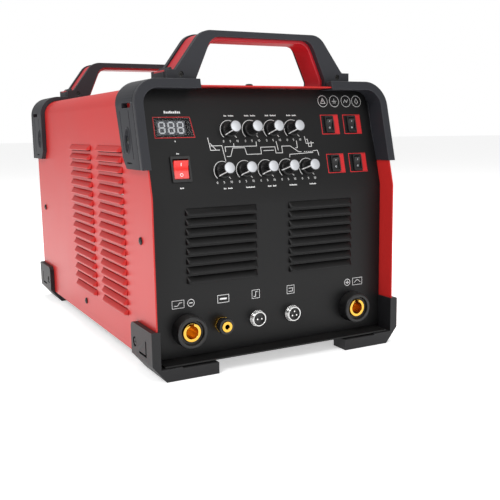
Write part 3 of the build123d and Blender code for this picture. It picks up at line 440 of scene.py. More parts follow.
part_black = finish("black_plastic", srgb(12, 12, 13), 0.4, grain=0.14, wear=0.25, worn=srgb(80, 80, 82))
knob_black = finish("knob_plastic", srgb(16, 16, 17), 0.34, grain=0.10, wear=0.2, worn=srgb(90, 90, 92))
cap_silver = finish("knob_cap", srgb(196, 198, 202), 0.34, metallic=0.5, grain=0.1, wear=0.1,
                    worn=srgb(250, 250, 250))
rocker_red = finish("rocker_red", srgb(226, 26, 16), 0.22, grain=0.05, wear=0.05, worn=srgb(250, 120, 110),
                    coat=0.4, dust=0.0)
print_white = finish("white_print", srgb(232, 232, 232), 0.5, wear=0.0, cloud=0.08, cloud_size=0.004, dust=0.0)
print_red = finish("red_print", srgb(196, 20, 26), 0.45, wear=0.0, cloud=0.08, cloud_size=0.004, dust=0.0)
digit_grey = finish("unlit_segment", srgb(214, 217, 221), 0.5, grain=0.0, wear=0.0, cloud=0.08,
                    cloud_size=0.003, dust=0.0)
display_grey = finish("display_ground", srgb(74, 76, 82), 0.5, grain=0.0, wear=0.0, dust=0.0)
brass = finish("turned_brass", srgb(226, 176, 74), 0.22, metallic=1.0, grain=0.12, grain_size=0.0005, wear=0.3,
               worn=srgb(250, 225, 150), dust=0.0)
chrome = finish("bright_plate", srgb(215, 215, 214), 0.14, metallic=1.0, grain=0.04, wear=0.2,
                worn=srgb(240, 240, 240), dust=0.0)
zinc = finish("zinc_plate", srgb(176, 178, 176), 0.34, metallic=1.0, grain=0.15, cloud=0.15,
              cloud_size=0.01, wear=0.2)
aluminium = finish("extruded_aluminium", srgb(196, 197, 200), 0.36, metallic=1.0, grain=0.2, wear=0.2)
circuit = finish("circuit_laminate", srgb(20, 84, 44), 0.36, grain=0.2, cloud=0.3, cloud_size=0.004, wear=0.0)
sleeve = finish("capacitor_sleeve", srgb(24, 36, 66), 0.28, grain=0.05, wear=0.1)
ferrite = finish("ferrite", srgb(52, 52, 55), 0.5, grain=0.4, wear=0.3, worn=srgb(95, 95, 98))
winding = finish("varnished_copper", srgb(172, 92, 40), 0.3, metallic=0.7, grain=0.5, grain_size=0.002,
                 cloud=0.25, cloud_size=0.003, wear=0.0)
hose_black = finish("hose_rubber", srgb(26, 26, 27), 0.55, grain=0.3, wear=0.1)
print("finishes", len(bpy.data.materials))


# %% [markdown]
# The display window is a thin clear sheet. It only adds gloss to what lies behind it, so it is a
# mostly transparent surface rather than a refracting body.

# %% Clear window
def window_glass():
    material = finish("display_window", (0.01, 0.01, 0.012), 0.06, grain=0.0, wear=0.0, dust=0.0, cloud=0.3)
    shader = material.node_tree.nodes["Principled BSDF"]
    shader.inputs["Alpha"].default_value = 0.1
    return material


display_glass = window_glass()

# %% [markdown]
# ## CAD nodes that keep their shape
# Most inner pieces and small turned parts are right as they are. They only get their finish.

# %% Finishes of the CAD nodes
NODE_FINISH = {
    "chassis_tray": black_coat, "rear_panel": black_coat, "fan_frame": part_black, "fan_impeller": part_black,
    "control_board": circuit, "power_board": circuit, "board_pillars": zinc, "potentiometers": zinc,
    "bus_capacitors": sleeve, "heatsinks": aluminium, "transformer_core": ferrite,
    "transformer_winding": winding, "output_choke": winding, "gas_hose": hose_black, "gas_valve": brass,
    "display_module": part_black, "control_socket_pins": chrome, "control_socket_inserts": part_black,
    "earth_stud": brass, "gas_inlet": brass, "mains_gland": part_black, "fan_screws": screw_black,
    "handle_screws": screw_black, "cover_screws": screw_black, "bumper_screws": screw_black,
    "front_panel": black_coat, "cover": red_coat, "socket_contacts": brass, "socket_housings": part_black,
    "control_socket_shells": chrome, "gas_outlet": brass, "gas_outlet_collar": part_black,
    "display_lens": display_glass, "main_switch_housing": part_black, "mode_switch_housings": part_black,
    "main_switch_rocker": rocker_red, "fan_grille": chrome,
    "front_handle_core": handle_red, "rear_handle_core": handle_red,
    "front_handle_shells": charcoal, "rear_handle_shells": charcoal,
}
for node, piece in nodes.items():
    material = NODE_FINISH.get(node)
    if material is None:
        material = {"knob": knob_black, "mode": part_black}.get(node.split("_")[0], charcoal)
        if "bottom" in node:
            material = bumper_black
    piece.data.materials.clear()
    piece.data.materials.append(material)
print("finished", len(nodes), "nodes")


# %% [markdown]
# ## Driving dimensions
# The front folds back at one height, and everything on it stands square to one of two flat faces.
# A matrix for a spot on that panel has local X to the right, Y up the panel and Z straight out.

# %% Driving dimensions
HALF_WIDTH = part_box("front_bumper_top_right")[1].x
COVER_HALF = HALF_WIDTH - 6.0 * MM
COVER_BOTTOM, COVER_TOP, COVER_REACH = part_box("cover")[0].z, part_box("cover")[1].z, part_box("cover")[1].y
PANEL_REACH = COVER_REACH - 22.0 * MM
SHEET, CORNER = 1.5 * MM, 20.0 * MM
BEND_HEIGHT, LEAN = 182.0 * MM, 0.25
TILT = atan(LEAN)
JOINTS = {joint["child"]: joint for joint in frame["joints"]}


def leaning(reach, height, slope=LEAN):
    """Y of a face that stands upright to the bend and leans back above it."""
    return -reach + slope * max(0.0, height - BEND_HEIGHT)


def face_frame(place, out, up=(0.0, 0.0, 1.0)):
    """Matrix of a spot on a surface: local Z points out and local Y points up."""
    out, up = Vector(out).normalized(), Vector(up)
    up = (up - out * up.dot(out)).normalized()
    return Matrix.Translation(place) @ Matrix((up.cross(out), up, out)).transposed().to_4x4()


def panel_frame(x, height):
    """A spot on the front panel's face."""
    tilt = TILT if height > BEND_HEIGHT else 0.0
    return face_frame((x, leaning(PANEL_REACH, height), height), (0.0, -cos(tilt), sin(tilt)))


def spot_of(node):
    """The panel spot under a CAD piece that stands on the front panel."""
    low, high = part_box(node)
    middle = (low + high) / 2
    return panel_frame(middle.x, middle.z)


print("half width", round(HALF_WIDTH, 4), "tilt", round(degrees(TILT), 2))

# %% [markdown]
# ## Prisms, cutters and clean cuts
# Holes and grooves are cut with closed prisms: an outline on a spot's local XY, from one depth to
# another. One Boolean takes all the cutters that it is given at once, so cutters that cross each
# other are given one by one.

# %% Prisms and cuts
def circle(radius, segments=32, x=0.0, y=0.0, stretch=1.0):
    """Round outline, or an oval if it is stretched upwards."""
    return [(x + radius * cos(2 * pi * k / segments), y + stretch * radius * sin(2 * pi * k / segments))
            for k in range(segments)]


def rectangle(width, height, x=0.0, y=0.0):
    return [(x - width / 2, y - height / 2), (x + width / 2, y - height / 2),
            (x + width / 2, y + height / 2), (x - width / 2, y + height / 2)]


def prism(outline, spot, low, high):
    """Closed prism on a spot; the outline runs counter-clockwise seen from outside."""
    count = len(outline)
    points = [(x, y, height) for height in (low, high) for x, y in outline]
    sides = [(k, (k + 1) % count, count + (k + 1) % count, count + k) for k in range(count)]
    caps = [tuple(reversed(range(count))), tuple(range(count, 2 * count))]
    return mesh_of("prism", points, sides + caps, spot)


def outward(mesh):
    """Turn every face of a closed mesh outwards."""
    work = bmesh.new()
    work.from_mesh(mesh)
    bmesh.ops.recalc_face_normals(work, faces=work.faces)
    work.to_mesh(mesh)
    work.free()
    return mesh


def cut(mesh, cutters, operation="DIFFERENCE"):
    """The mesh with all the cutters taken away from it, or what they have in common."""
    piece = bpy.data.objects.new("being_cut", mesh)
    tool = bpy.data.objects.new("cutter", joined("cutters", cutters))
    for thing in (piece, tool):
        bpy.context.scene.collection.objects.link(thing)
    boolean = piece.modifiers.new("cut", "BOOLEAN")
    boolean.operation, boolean.solver, boolean.object = operation, "EXACT", tool
    bpy.context.view_layer.update()
    result = bpy.data.meshes.new_from_object(piece.evaluated_get(bpy.context.evaluated_depsgraph_get()))
    for thing in (piece, tool):
        bpy.data.objects.remove(thing)
    return result


def solid_between(name, points, spot=None):
    """Closed solid whose points are an outline at one place, then the same outline at another."""
    count = len(points) // 2
    sides = [(k, (k + 1) % count, count + (k + 1) % count, count + k) for k in range(count)]
    return outward(mesh_of(name, points, sides + [tuple(range(count)), tuple(range(count, 2 * count))], spot))


# %% [markdown]
# ## The cover
# The cover is one sheet folded over the machine, with a leaning front edge. It could be a plane with
# Solidify, but the edge changes slope half way, so the folded sheet is lofted between its front and
# back outlines, and the louvre slots are then cut through it.

# %% Cover sheet
SIDE_COLUMNS = (-157.0 * MM, -43.0 * MM)
SIDE_LENGTH, SIDE_PITCH, SIDE_LOW, SIDE_ROWS = 86.0 * MM, 10.8 * MM, 52.0 * MM, 17
SIDE_DEPTH, SIDE_HEIGHT, SIDE_GAP = 4.6 * MM, 6.6 * MM, 1.0 * MM
END_WALL = 1.2 * MM
CORNER_STEPS = 12


def case_profile(inset, bottom=COVER_BOTTOM):
    """Front view of the folded sheet, from the lower left over the top to the lower right."""
    half, top, radius = COVER_HALF - inset, COVER_TOP - inset, CORNER - inset
    right = [(half, bottom), (half, BEND_HEIGHT)]
    for step in range(CORNER_STEPS + 1):
        angle = pi / 2 * step / CORNER_STEPS
        right.append((half - radius + radius * cos(angle), top - radius + radius * sin(angle)))
    return [(-x, z) for x, z in right] + list(reversed(right))


def folded_sheet(outer, inner, front, back):
    """Closed sheet between two profiles of equal length."""
    count = len(outer)
    points = [(x, place(z), z) for profile in (outer, inner) for place in (front, back) for x, z in profile]
    outer_front, outer_back, inner_front, inner_back = (
        list(range(start * count, (start + 1) * count)) for start in range(4))
    strips = ((outer_front, outer_back), (inner_back, inner_front),
              (outer_back, inner_back), (inner_front, outer_front))
    faces = [(a[k], a[k + 1], b[k + 1], b[k]) for a, b in strips for k in range(count - 1)]
    faces += [(outer_front[k], outer_back[k], inner_back[k], inner_front[k]) for k in (0, count - 1)]
    return outward(mesh_of("sheet", points, faces))


def slot_cutters(frames, length, low, pitch, rows, height, below=0.0):
    """Boxes for the slots under a bank of hoods, open a little below each lip; each frame stands at the
    bank's middle, at the ground."""
    cutters = []
    for spot in frames:
        for row in range(rows):
            foot = low + row * pitch
            outline = rectangle(length - 2 * END_WALL, height - SHEET + below, 0.0,
                                foot + (height - SHEET - below) / 2)
            cutters.append(prism(outline, spot, -3 * SHEET, 3 * SHEET))
    return cutters


side_banks = {side: [face_frame((side * COVER_HALF, start + SIDE_LENGTH / 2, 0.0), (side, 0.0, 0.0))
                     for start in SIDE_COLUMNS] for side in (-1, 1)}
cover_sheet = folded_sheet(case_profile(0.0), case_profile(SHEET),
                           lambda z: leaning(COVER_REACH, z), lambda z: COVER_REACH)
side_slots = [box for side in (-1, 1) for box in
              slot_cutters(side_banks[side], SIDE_LENGTH, SIDE_LOW, SIDE_PITCH, SIDE_ROWS, SIDE_HEIGHT,
                           SIDE_GAP)]
cover_shell = new_piece("cover_shell", cut(cover_sheet, side_slots), "case", red_coat)
add_bevel(cover_shell, 0.3 * MM, 1, 60.0)
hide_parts("cover")
print("cover faces", len(cover_shell.data.polygons))

# %% [markdown]
# ## Pressed louvres
# A louvre is slit along its lower edge and pressed out over a round-ended tool. One hood follows a
# rule, so Geometry Nodes makes it from a grid: sines gather the points at the ends and round the
# back, and a high power of the place along it closes the ends. A line of copies makes the bank.

# %% Louvre bank tree
def louvre_tree():
    tree = new_tree("louvre_bank", "GeometryNodeTree",
                    [("Length", FLOAT, 0.08), ("Depth", FLOAT, 0.005), ("Height", FLOAT, 0.007),
                     ("Pitch", FLOAT, 0.01), ("Rows", INTEGER, 8), ("End sharpness", FLOAT, 26.0),
                     ("Finish", MATERIAL, None)], [("Geometry", GEOMETRY)])
    w = Wiring(tree)
    given, given_back = w.node("NodeGroupInput"), w.node("NodeGroupOutput")
    size = given.outputs
    grid = w.node("GeometryNodeMeshGrid", {"Size X": 2.0, "Size Y": 1.0, "Vertices X": 37, "Vertices Y": 8})
    place = w.node("ShaderNodeSeparateXYZ", {0: w.node("GeometryNodeInputPosition").outputs[0]})
    along = w.maths("SINE", w.maths("MULTIPLY", place.outputs["X"], pi / 2))
    down = w.maths("SUBTRACT", 0.5, place.outputs["Y"])
    closing = w.maths("SQRT", w.maths("MAXIMUM", 0.0, w.maths(
        "SUBTRACT", 1.0, w.maths("POWER", w.maths("ABSOLUTE", along), size["End sharpness"]))))
    out = w.maths("MULTIPLY", w.maths("MULTIPLY", size["Depth"], closing),
                  w.maths("SINE", w.maths("MULTIPLY", down, pi / 2)))
    x = w.maths("MULTIPLY", along, w.maths("MULTIPLY", size["Length"], 0.5))
    y = w.maths("MULTIPLY", size["Height"], w.maths("SUBTRACT", 1.0, down))
    moved = w.node("ShaderNodeCombineXYZ", {"X": x, "Y": y, "Z": out})
    hood = w.node("GeometryNodeSetPosition", {"Geometry": grid.outputs["Mesh"], "Position": moved.outputs[0]})
    offset = w.node("ShaderNodeCombineXYZ", {"Y": size["Pitch"]})
    line = w.node("GeometryNodeMeshLine", {"Count": size["Rows"], "Offset": offset.outputs[0]})
    copies = w.node("GeometryNodeInstanceOnPoints", {"Points": line.outputs[0], "Instance": hood.outputs[0]})
    w.end_geometry(copies.outputs[0], size["Finish"], given_back)
    return tree


LOUVRES = louvre_tree()


def louvre_bank(name, frames, material, length, low, pitch, rows, depth, height):
    """Hoods of one piece: the same bank on each frame, then the sheet's thickness inwards."""
    banks = []
    for spot in frames:
        bank = made_by(LOUVRES, name, {"Length": length, "Depth": depth, "Height": height, "Pitch": pitch,
                                       "Rows": rows, "Finish": material})
        bank.transform(spot @ Matrix.Translation((0.0, low, 0.0)))
        banks.append(bank)
    piece = new_piece(name, joined(name, banks), "case", material, 60.0)
    wall = piece.modifiers.new("wall", "SOLIDIFY")
    wall.thickness, wall.offset = 0.9 * MM, -1.0
    return piece


for side, label in ((-1, "left"), (1, "right")):
    bank = louvre_bank("side_louvres_" + label, side_banks[side], red_coat,
                       SIDE_LENGTH, SIDE_LOW, SIDE_PITCH, SIDE_ROWS, SIDE_DEPTH, SIDE_HEIGHT)
    print(bank.name, len(bank.data.polygons))

# %% [markdown]
# ## The front panel
# The panel is folded from the same sheet: an upright lower half, a leaning upper half, a flange along
# each side, rounded upper corners under the cover, and holes for everything that is fitted to it.

# %% Front panel
PANEL_LOW, PANEL_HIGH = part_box("front_panel")
FLANGE, PANEL_GAP = 18.0 * MM, 0.6 * MM
FRONT_LOW, FRONT_PITCH, FRONT_ROWS = 92.0 * MM, 9.9 * MM, 8
FRONT_NEAR, FRONT_FAR = 19.75 * MM, 101.0 * MM
FRONT_DEPTH, FRONT_HEIGHT = 5.0 * MM, 7.2 * MM
KNOBS = [f"knob_{number}" for number in range(1, 10)]
MODE_ROCKERS = [f"mode_rocker_{number}" for number in range(1, 5)]
WELD_SOCKETS = [panel_frame(side * 102.0 * MM, 43.5 * MM) for side in (-1, 1)]
CONTROL_SOCKETS = [panel_frame(side * 21.7 * MM, 46.0 * MM) for side in (-1, 1)]
GAS_OUTLET = spot_of("gas_outlet_collar")
DISPLAY = panel_frame(-105.5 * MM, 249.0 * MM)


def knob_frame(node):
    """The spot on the panel under a knob, straight from its joint."""
    joint = JOINTS[node]
    return panel_frame(joint["pos_m"][0], joint["pos_m"][2])


def rocker_frame(node):
    """The spot on the panel in front of a rocker's pivot."""
    joint = JOINTS[node]
    pivot = Vector(joint["pos_m"]) + Vector((0.0, -cos(TILT), sin(TILT))) * 1.0 * MM
    return panel_frame(pivot.x, pivot.z)


def panel_sheet():
    half = PANEL_HIGH.x
    loops = []
    for height in (PANEL_LOW.z, BEND_HEIGHT, PANEL_HIGH.z):
        face = leaning(PANEL_REACH, height)
        loops.append([(-half, face + FLANGE, height), (-half, face, height), (half, face, height),
                      (half, face + FLANGE, height), (half - SHEET, face + FLANGE, height),
                      (half - SHEET, face + SHEET, height), (-half + SHEET, face + SHEET, height),
                      (-half + SHEET, face + FLANGE, height)])
    faces = [(8 * level + k, 8 * level + (k + 1) % 8, 8 * level + 8 + (k + 1) % 8, 8 * level + 8 + k)
             for level in (0, 1) for k in range(8)]
    for start in (0, 16):
        faces += [tuple(start + k for k in quad) for quad in ((0, 1, 6, 7), (1, 2, 5, 6), (2, 3, 4, 5))]
    sheet = outward(mesh_of("panel", [point for loop in loops for point in loop], faces))
    envelope = [(x, y, z) for y in (-COVER_REACH, COVER_REACH)
                for x, z in case_profile(SHEET + PANEL_GAP, 0.0)]
    return cut(sheet, [solid_between("envelope", envelope)], "INTERSECT")


front_middle = (FRONT_NEAR + FRONT_FAR) / 2
front_banks = [panel_frame(side * front_middle, 0.0) for side in (-1, 1)]
panel_cutters = slot_cutters(front_banks, FRONT_FAR - FRONT_NEAR, FRONT_LOW, FRONT_PITCH, FRONT_ROWS,
                             FRONT_HEIGHT)
panel_holes = [(circle(3.6 * MM), [knob_frame(node) for node in KNOBS]),
               (circle(14.1 * MM, 48), WELD_SOCKETS),
               (circle(8.0 * MM), CONTROL_SOCKETS),
               (circle(5.3 * MM), [GAS_OUTLET]),
               (rectangle(33.0 * MM, 17.0 * MM), [DISPLAY]),
               (rectangle(18.9 * MM, 23.1 * MM), [rocker_frame("main_switch_rocker")]),
               (rectangle(9.9 * MM, 16.7 * MM), [rocker_frame(node) for node in MODE_ROCKERS])]
for outline, spots in panel_holes:
    panel_cutters += [prism(outline, spot, -2 * SHEET, 2 * SHEET) for spot in spots]
front_sheet = new_piece("front_sheet", cut(panel_sheet(), panel_cutters), "case", black_coat)
add_bevel(front_sheet, 0.3 * MM, 1, 60.0)
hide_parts("front_panel")
front_louvres = louvre_bank("front_louvres", front_banks, black_coat,
                            FRONT_FAR - FRONT_NEAR, FRONT_LOW, FRONT_PITCH, FRONT_ROWS,
                            FRONT_DEPTH, FRONT_HEIGHT)
print("panel faces", len(front_sheet.data.polygons), "louvres", len(front_louvres.data.polygons))

# %% [markdown]
# ## Strips, cutters through a side, and rims
# Grooves and slots in the bumpers are drawn in side view. Lines printed on the panel and the raised
# rims follow a path, so one function makes a band of even width along any path.

# %% Bands and side cutters
def side_prism(outline, side, inner, outer):
    """Closed prism drawn in side view as (y, z), between two distances from the middle."""
    return solid_between("side_prism", [(side * reach, y, z) for reach in (inner, outer) for y, z in outline])


def band(path, width, spot, low, high, closed=False):
    """Flat strip of even width along a path on a spot, with mitred corners."""
    count = len(path)
    edges = []
    for k, point in enumerate(path):
        here = Vector(point)
        before = Vector(path[k - 1]) if closed or k else None
        after = Vector(path[(k + 1) % count]) if closed or k < count - 1 else None
        ways = [way.normalized() for way in (
            here - before if before is not None else None, after - here if after is not None else None) if way]
        across = sum(((Vector((-way.y, way.x))) for way in ways), Vector((0.0, 0.0))).normalized()
        reach = width / 2 / max(0.35, across.dot(Vector((-ways[0].y, ways[0].x))))
        edges.append((here + across * reach, here - across * reach))
    points = [(*place, height) for height in (low, high) for pair in edges for place in pair]
    faces = []
    for k in range(count if closed else count - 1):
        a, b = 2 * k, 2 * ((k + 1) % count)
        top_a, top_b = a + 2 * count, b + 2 * count
        faces += [(a, b, b + 1, a + 1), (top_a, top_a + 1, top_b + 1, top_b),
                  (a, top_a, top_b, b), (a + 1, b + 1, top_b + 1, top_a + 1)]
    if not closed:
        last = 2 * (count - 1)
        faces += [(0, 1, 1 + 2 * count, 2 * count), (last, last + 2 * count, last + 1 + 2 * count, last + 1)]
    return outward(mesh_of("band", points, faces, spot))


def round_rim(path, radius, spot, segments=8):
    """Closed round moulding along a closed path on a spot, half of it standing proud."""
    count, points = len(path), []
    for k, point in enumerate(path):
        here = Vector(point)
        way = (Vector(path[(k + 1) % count]) - Vector(path[k - 1])).normalized()
        across = Vector((-way.y, way.x))
        for step in range(segments):
            angle = 2 * pi * step / segments
            place = here + across * radius * cos(angle)
            points.append((place.x, place.y, radius * sin(angle)))
    faces = [(segments * k + s, segments * k + (s + 1) % segments,
              segments * ((k + 1) % count) + (s + 1) % segments, segments * ((k + 1) % count) + s)
             for k in range(count) for s in range(segments)]
    return outward(mesh_of("rim", points, faces, spot))


print("helpers ready")

# %% [markdown]
# ## Corner bumpers
# Each bumper is one moulding. The CAD solid gives its true outline. A copy is rounded first and cut
# afterwards, so that the cuts stay crisp: sink grooves on the side, a slot that shows the cover, an
# oval screw pocket, and one fine groove behind the front edge. The pocket's rim is a piece of its own.

# %% Upper bumpers
BUMPER_REACH = HALF_WIDTH + 91.0 * MM
GROOVE_WIDTH, GROOVE_DEPTH = 1.6 * MM, 2.0 * MM
PROUD = 1.0 * MM
EDGE_RADIUS = 1.3 * MM
POCKET_Y, POCKET_Z = 194.0 * MM, 237.0 * MM
POCKET_RADIUS, POCKET_STRETCH = 5.6 * MM, 11.0 / 5.6
RIM_RADIUS, RIM_STRETCH, RIM_WIRE = 7.0 * MM, 12.4 / 7.0, 0.9 * MM


def lean_outline(offset, width, low, high, slope):
    """Strip in side view that runs parallel to the front edge of a bumper."""
    low_y, high_y = (leaning(BUMPER_REACH, height, slope) + offset for height in (low, high))
    return [(low_y, low), (low_y + width, low), (high_y + width, high), (high_y, high)]


def turned(outline, end):
    """A side-view outline drawn for the front, turned to the given end: -1 is the front, 1 the back."""
    return [(-end * y, z) for y, z in outline]


def upper_cutters(side, end, slope):
    """Everything that is cut from the side of an upper bumper."""
    floor_x, through_x, face_x = HALF_WIDTH - GROOVE_DEPTH, COVER_HALF, HALF_WIDTH + PROUD
    grooves = [lean_outline(20.0 * MM, GROOVE_WIDTH, 219.0 * MM, 266.0 * MM, slope),
               lean_outline(46.0 * MM, GROOVE_WIDTH, 224.0 * MM, 266.0 * MM, slope),
               lean_outline(28.0 * MM, 14.0 * MM, 214.2 * MM, 215.8 * MM, slope)]
    start = leaning(BUMPER_REACH, 271.0 * MM, slope)
    slot = [(start + 13.0 * MM, 268.5 * MM), (start + 39.0 * MM, 268.5 * MM),
            (start + 39.0 * MM, 273.5 * MM), (start + 13.0 * MM, 273.5 * MM)]
    cutters = [side_prism(turned(outline, end), side, floor_x, face_x) for outline in grooves]
    cutters.append(side_prism(turned(slot, end), side, through_x, face_x))
    oval = [(y - POCKET_Y, z) for y, z in circle(POCKET_RADIUS, 40, 0.0, POCKET_Z, POCKET_STRETCH)]
    cutters.append(side_prism(turned(oval, end), side, floor_x, face_x))
    return cutters


def edge_groove(end, slope):
    """Fine groove round a bumper, a little behind its front edge."""
    near, far = 6.0 * MM, 7.2 * MM
    places = [lambda z: leaning(BUMPER_REACH, z, slope) + near, lambda z: leaning(BUMPER_REACH, z, slope) + far]
    if end > 0:
        places = [lambda z: BUMPER_REACH - far, lambda z: BUMPER_REACH - near]
    return folded_sheet(case_profile(-7.0 * MM), case_profile(-4.9 * MM), *places)


def pocket_rim(side, end):
    """Round moulding about the screw pocket."""
    spot = face_frame((side * HALF_WIDTH, end * POCKET_Y, POCKET_Z), (side, 0.0, 0.0))
    return round_rim(circle(RIM_RADIUS, 40, 0.0, 0.0, RIM_STRETCH), RIM_WIRE, spot)


def bumper_piece(name, node, cutters, material, rims=()):
    """A rounded moulding, then its cuts one by one, because some cutters cross each other."""
    piece = new_piece(name, cad_copy(node), "case", material)
    add_bevel(piece, EDGE_RADIUS, 3, 40.0).harden_normals = False
    mesh = settled(piece).data
    for cutter in cutters:
        mesh = cut(mesh, [cutter])
    if len(mesh.polygons) < 100:
        raise ValueError(name + " was emptied by its cuts")
    mesh.materials.clear()
    mesh.materials.append(material)
    mesh.shade_smooth()
    mesh.set_sharp_from_angle(angle=radians(40.0))
    piece.data = mesh
    even = piece.modifiers.new("even_shading", "WEIGHTED_NORMAL")
    even.keep_sharp, even.weight = True, 100
    settled(piece)
    if rims:
        new_piece(name + "_rims", joined(name + "_rims", rims), "case", material, 60.0)
    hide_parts(node)
    return piece


for side, label in ((-1, "left"), (1, "right")):
    moulding = bumper_piece("front_corner_top_" + label, "front_bumper_top_" + label,
                            upper_cutters(side, -1, LEAN) + [edge_groove(-1, LEAN)], charcoal,
                            [pocket_rim(side, -1)])
    print(moulding.name, len(moulding.data.polygons))
rear_top = bumper_piece("rear_corners_top", "rear_bumpers_top",
                        [cutter for side in (-1, 1) for cutter in upper_cutters(side, 1, 0.0)]
                        + [edge_groove(1, 0.0)],
                        charcoal, [pocket_rim(side, 1) for side in (-1, 1)])
print(rear_top.name, len(rear_top.data.polygons))

# %% [markdown]
# The lower bumpers carry less: an L-shaped drain slot and a rounded upper corner.

# %% Lower bumpers
def lower_cutters(side, end):
    """An L-shaped drain slot and a rounded upper corner in the side of a lower bumper."""
    slot = [(-225.0 * MM, 23.0 * MM), (-203.0 * MM, 23.0 * MM), (-203.0 * MM, 25.5 * MM),
            (-222.0 * MM, 25.5 * MM), (-222.0 * MM, 40.0 * MM), (-225.0 * MM, 40.0 * MM)]
    back, top, radius = -BUMPER_REACH + 62.0 * MM, 52.0 * MM, 7.0 * MM
    corner = [(back + PROUD, top - radius), (back + PROUD, top + PROUD), (back - radius, top + PROUD)]
    corner += [(back - radius + radius * sin(pi / 2 * k / 8), top - radius + radius * cos(pi / 2 * k / 8))
               for k in range(9)]
    return [side_prism(turned(slot, end), side, COVER_HALF, HALF_WIDTH + PROUD),
            side_prism(turned(corner, end), side, HALF_WIDTH - 8.0 * MM, HALF_WIDTH + PROUD)]


for side, label in ((-1, "left"), (1, "right")):
    moulding = bumper_piece("front_corner_bottom_" + label, "front_bumper_bottom_" + label,
                            lower_cutters(side, -1), bumper_black)
    print(moulding.name, len(moulding.data.polygons))
rear_bottom = bumper_piece("rear_corners_bottom", "rear_bumpers_bottom",
                           [cutter for side in (-1, 1) for cutter in lower_cutters(side, 1)],
                           bumper_black)
print(rear_bottom.name, len(rear_bottom.data.polygons))

# %% [markdown]
# ## Handles
# A handle is a red core between two grey shells. All three are full soft mouldings, so copies of the
# CAD solids get wide rounded edges: the core is rounder than the shells, which close round it.

# %% Handles
for end in ("front", "rear"):
    for part, material, slot, radius in (("core", handle_red, "handle_red", 1.2), ("shells", charcoal,
                                                                                   "bumper_charcoal", 1.8)):
        node = f"{end}_handle_{part}"
        grip = new_piece(node + "_moulding", cad_copy(node), "case", material)
        add_bevel(grip, radius * MM, 4, 40.0)
        settled(grip)
        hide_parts(node)
        print(grip.name, len(grip.data.polygons))

# %% [markdown]
# At both ends of a handle the shells meet in a stepped foot with a few ribs, which hides the core.
# It is a box profile in front view with steps, pushed through the depth of the core.

# %% Handle feet
FOOT_OUTLINE = [(97.5, 291.2), (109.5, 291.2), (109.5, 304.0), (108.3, 304.0), (108.3, 305.2), (106.6, 305.2),
                (106.6, 306.4), (104.9, 306.4), (104.9, 307.6), (103.2, 307.6), (103.2, 308.8), (100.9, 308.8)]
FOOT_INSET = 0.4 * MM


def handle_foot(end, side):
    """Ribbed foot over one end of the core, between the two shells."""
    low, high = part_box(end + "_handle_core")
    outline = [(side * x * MM, z * MM) for x, z in FOOT_OUTLINE]
    depths = (low.y + FOOT_INSET, high.y - FOOT_INSET)
    return solid_between("foot", [(x, y, z) for y in depths for x, z in outline])


for end in ("front", "rear"):
    feet = new_piece(end + "_handle_feet", joined("feet", [handle_foot(end, side) for side in (-1, 1)]),
                     "case", charcoal)
    add_bevel(feet, 0.4 * MM, 2)
    settled(feet)
    print(feet.name, len(feet.data.polygons))

# %% [markdown]
# ## Knobs
# A knob's body is turned and then fluted. The flutes follow a rule, so a Geometry Nodes tree presses
# them into the turned body: a cosine round the axis, cut off below zero, only on the grip.

# %% Knobs
def flute_tree():
    tree = new_tree("grip_flutes", "GeometryNodeTree",
                    [("Geometry", GEOMETRY, None), ("Flutes", FLOAT, 18.0), ("Depth", FLOAT, 0.0005),
                     ("Low", FLOAT, 0.0036), ("High", FLOAT, 0.0165), ("Least radius", FLOAT, 0.0062),
                     ("Finish", MATERIAL, None)], [("Geometry", GEOMETRY)])
    w = Wiring(tree)
    given, given_back = w.node("NodeGroupInput"), w.node("NodeGroupOutput")
    size = given.outputs
    place = w.node("ShaderNodeSeparateXYZ", {0: w.node("GeometryNodeInputPosition").outputs[0]}).outputs
    radius = w.maths("SQRT", w.maths("ADD", w.maths("MULTIPLY", place["X"], place["X"]),
                                     w.maths("MULTIPLY", place["Y"], place["Y"])))
    turn = w.maths("ARCTAN2", place["Y"], place["X"])
    wave = w.maths("MAXIMUM", 0.0, w.maths("COSINE", w.maths("MULTIPLY", turn, size["Flutes"])))
    on_grip = w.maths("MULTIPLY", w.maths("GREATER_THAN", place["Z"], size["Low"]),
                      w.maths("MULTIPLY", w.maths("LESS_THAN", place["Z"], size["High"]),
                              w.maths("GREATER_THAN", radius, size["Least radius"])))
    inwards = w.maths("MULTIPLY", w.maths("MULTIPLY", wave, size["Depth"]), on_grip)
    share = w.maths("DIVIDE", inwards, w.maths("MAXIMUM", radius, 0.0001))
    step = w.node("ShaderNodeCombineXYZ", {
        "X": w.maths("MULTIPLY", w.maths("MULTIPLY", place["X"], share), -1.0),
        "Y": w.maths("MULTIPLY", w.maths("MULTIPLY", place["Y"], share), -1.0)})
    pressed = w.node("GeometryNodeSetPosition", {"Geometry": size["Geometry"], "Offset": step.outputs[0]})
    w.end_geometry(pressed.outputs[0], size["Finish"], given_back)
    return tree


def scaled(outline):
    """An outline in millimetres, in metres."""
    return [(radius * MM, height * MM) for radius, height in outline]


FLUTES = flute_tree()
KNOB_BODY = scaled([(0, 0.7), (7.25, 0.7), (7.5, 0.95), (7.5, 3.0), (7.25, 3.3), (6.9, 3.4), (6.75, 3.7),
                    (6.72, 6.0), (6.66, 12.0), (6.62, 16.3), (6.45, 16.75), (6.15, 17.0), (5.95, 17.0),
                    (5.85, 16.9), (5.85, 16.2), (0, 16.2)])
KNOB_CAP = scaled([(0, 16.1), (5.7, 16.1), (5.7, 16.75), (5.5, 17.05), (4.0, 17.25), (2.0, 17.36), (0, 17.4)])
POINTER_SIDE = scaled([(6.0, 0.75), (7.56, 0.75), (7.56, 3.3), (6.86, 3.5), (6.74, 16.6), (6.35, 17.05),
                       (6.0, 17.05)])
POINTER_HALF = 0.5 * MM

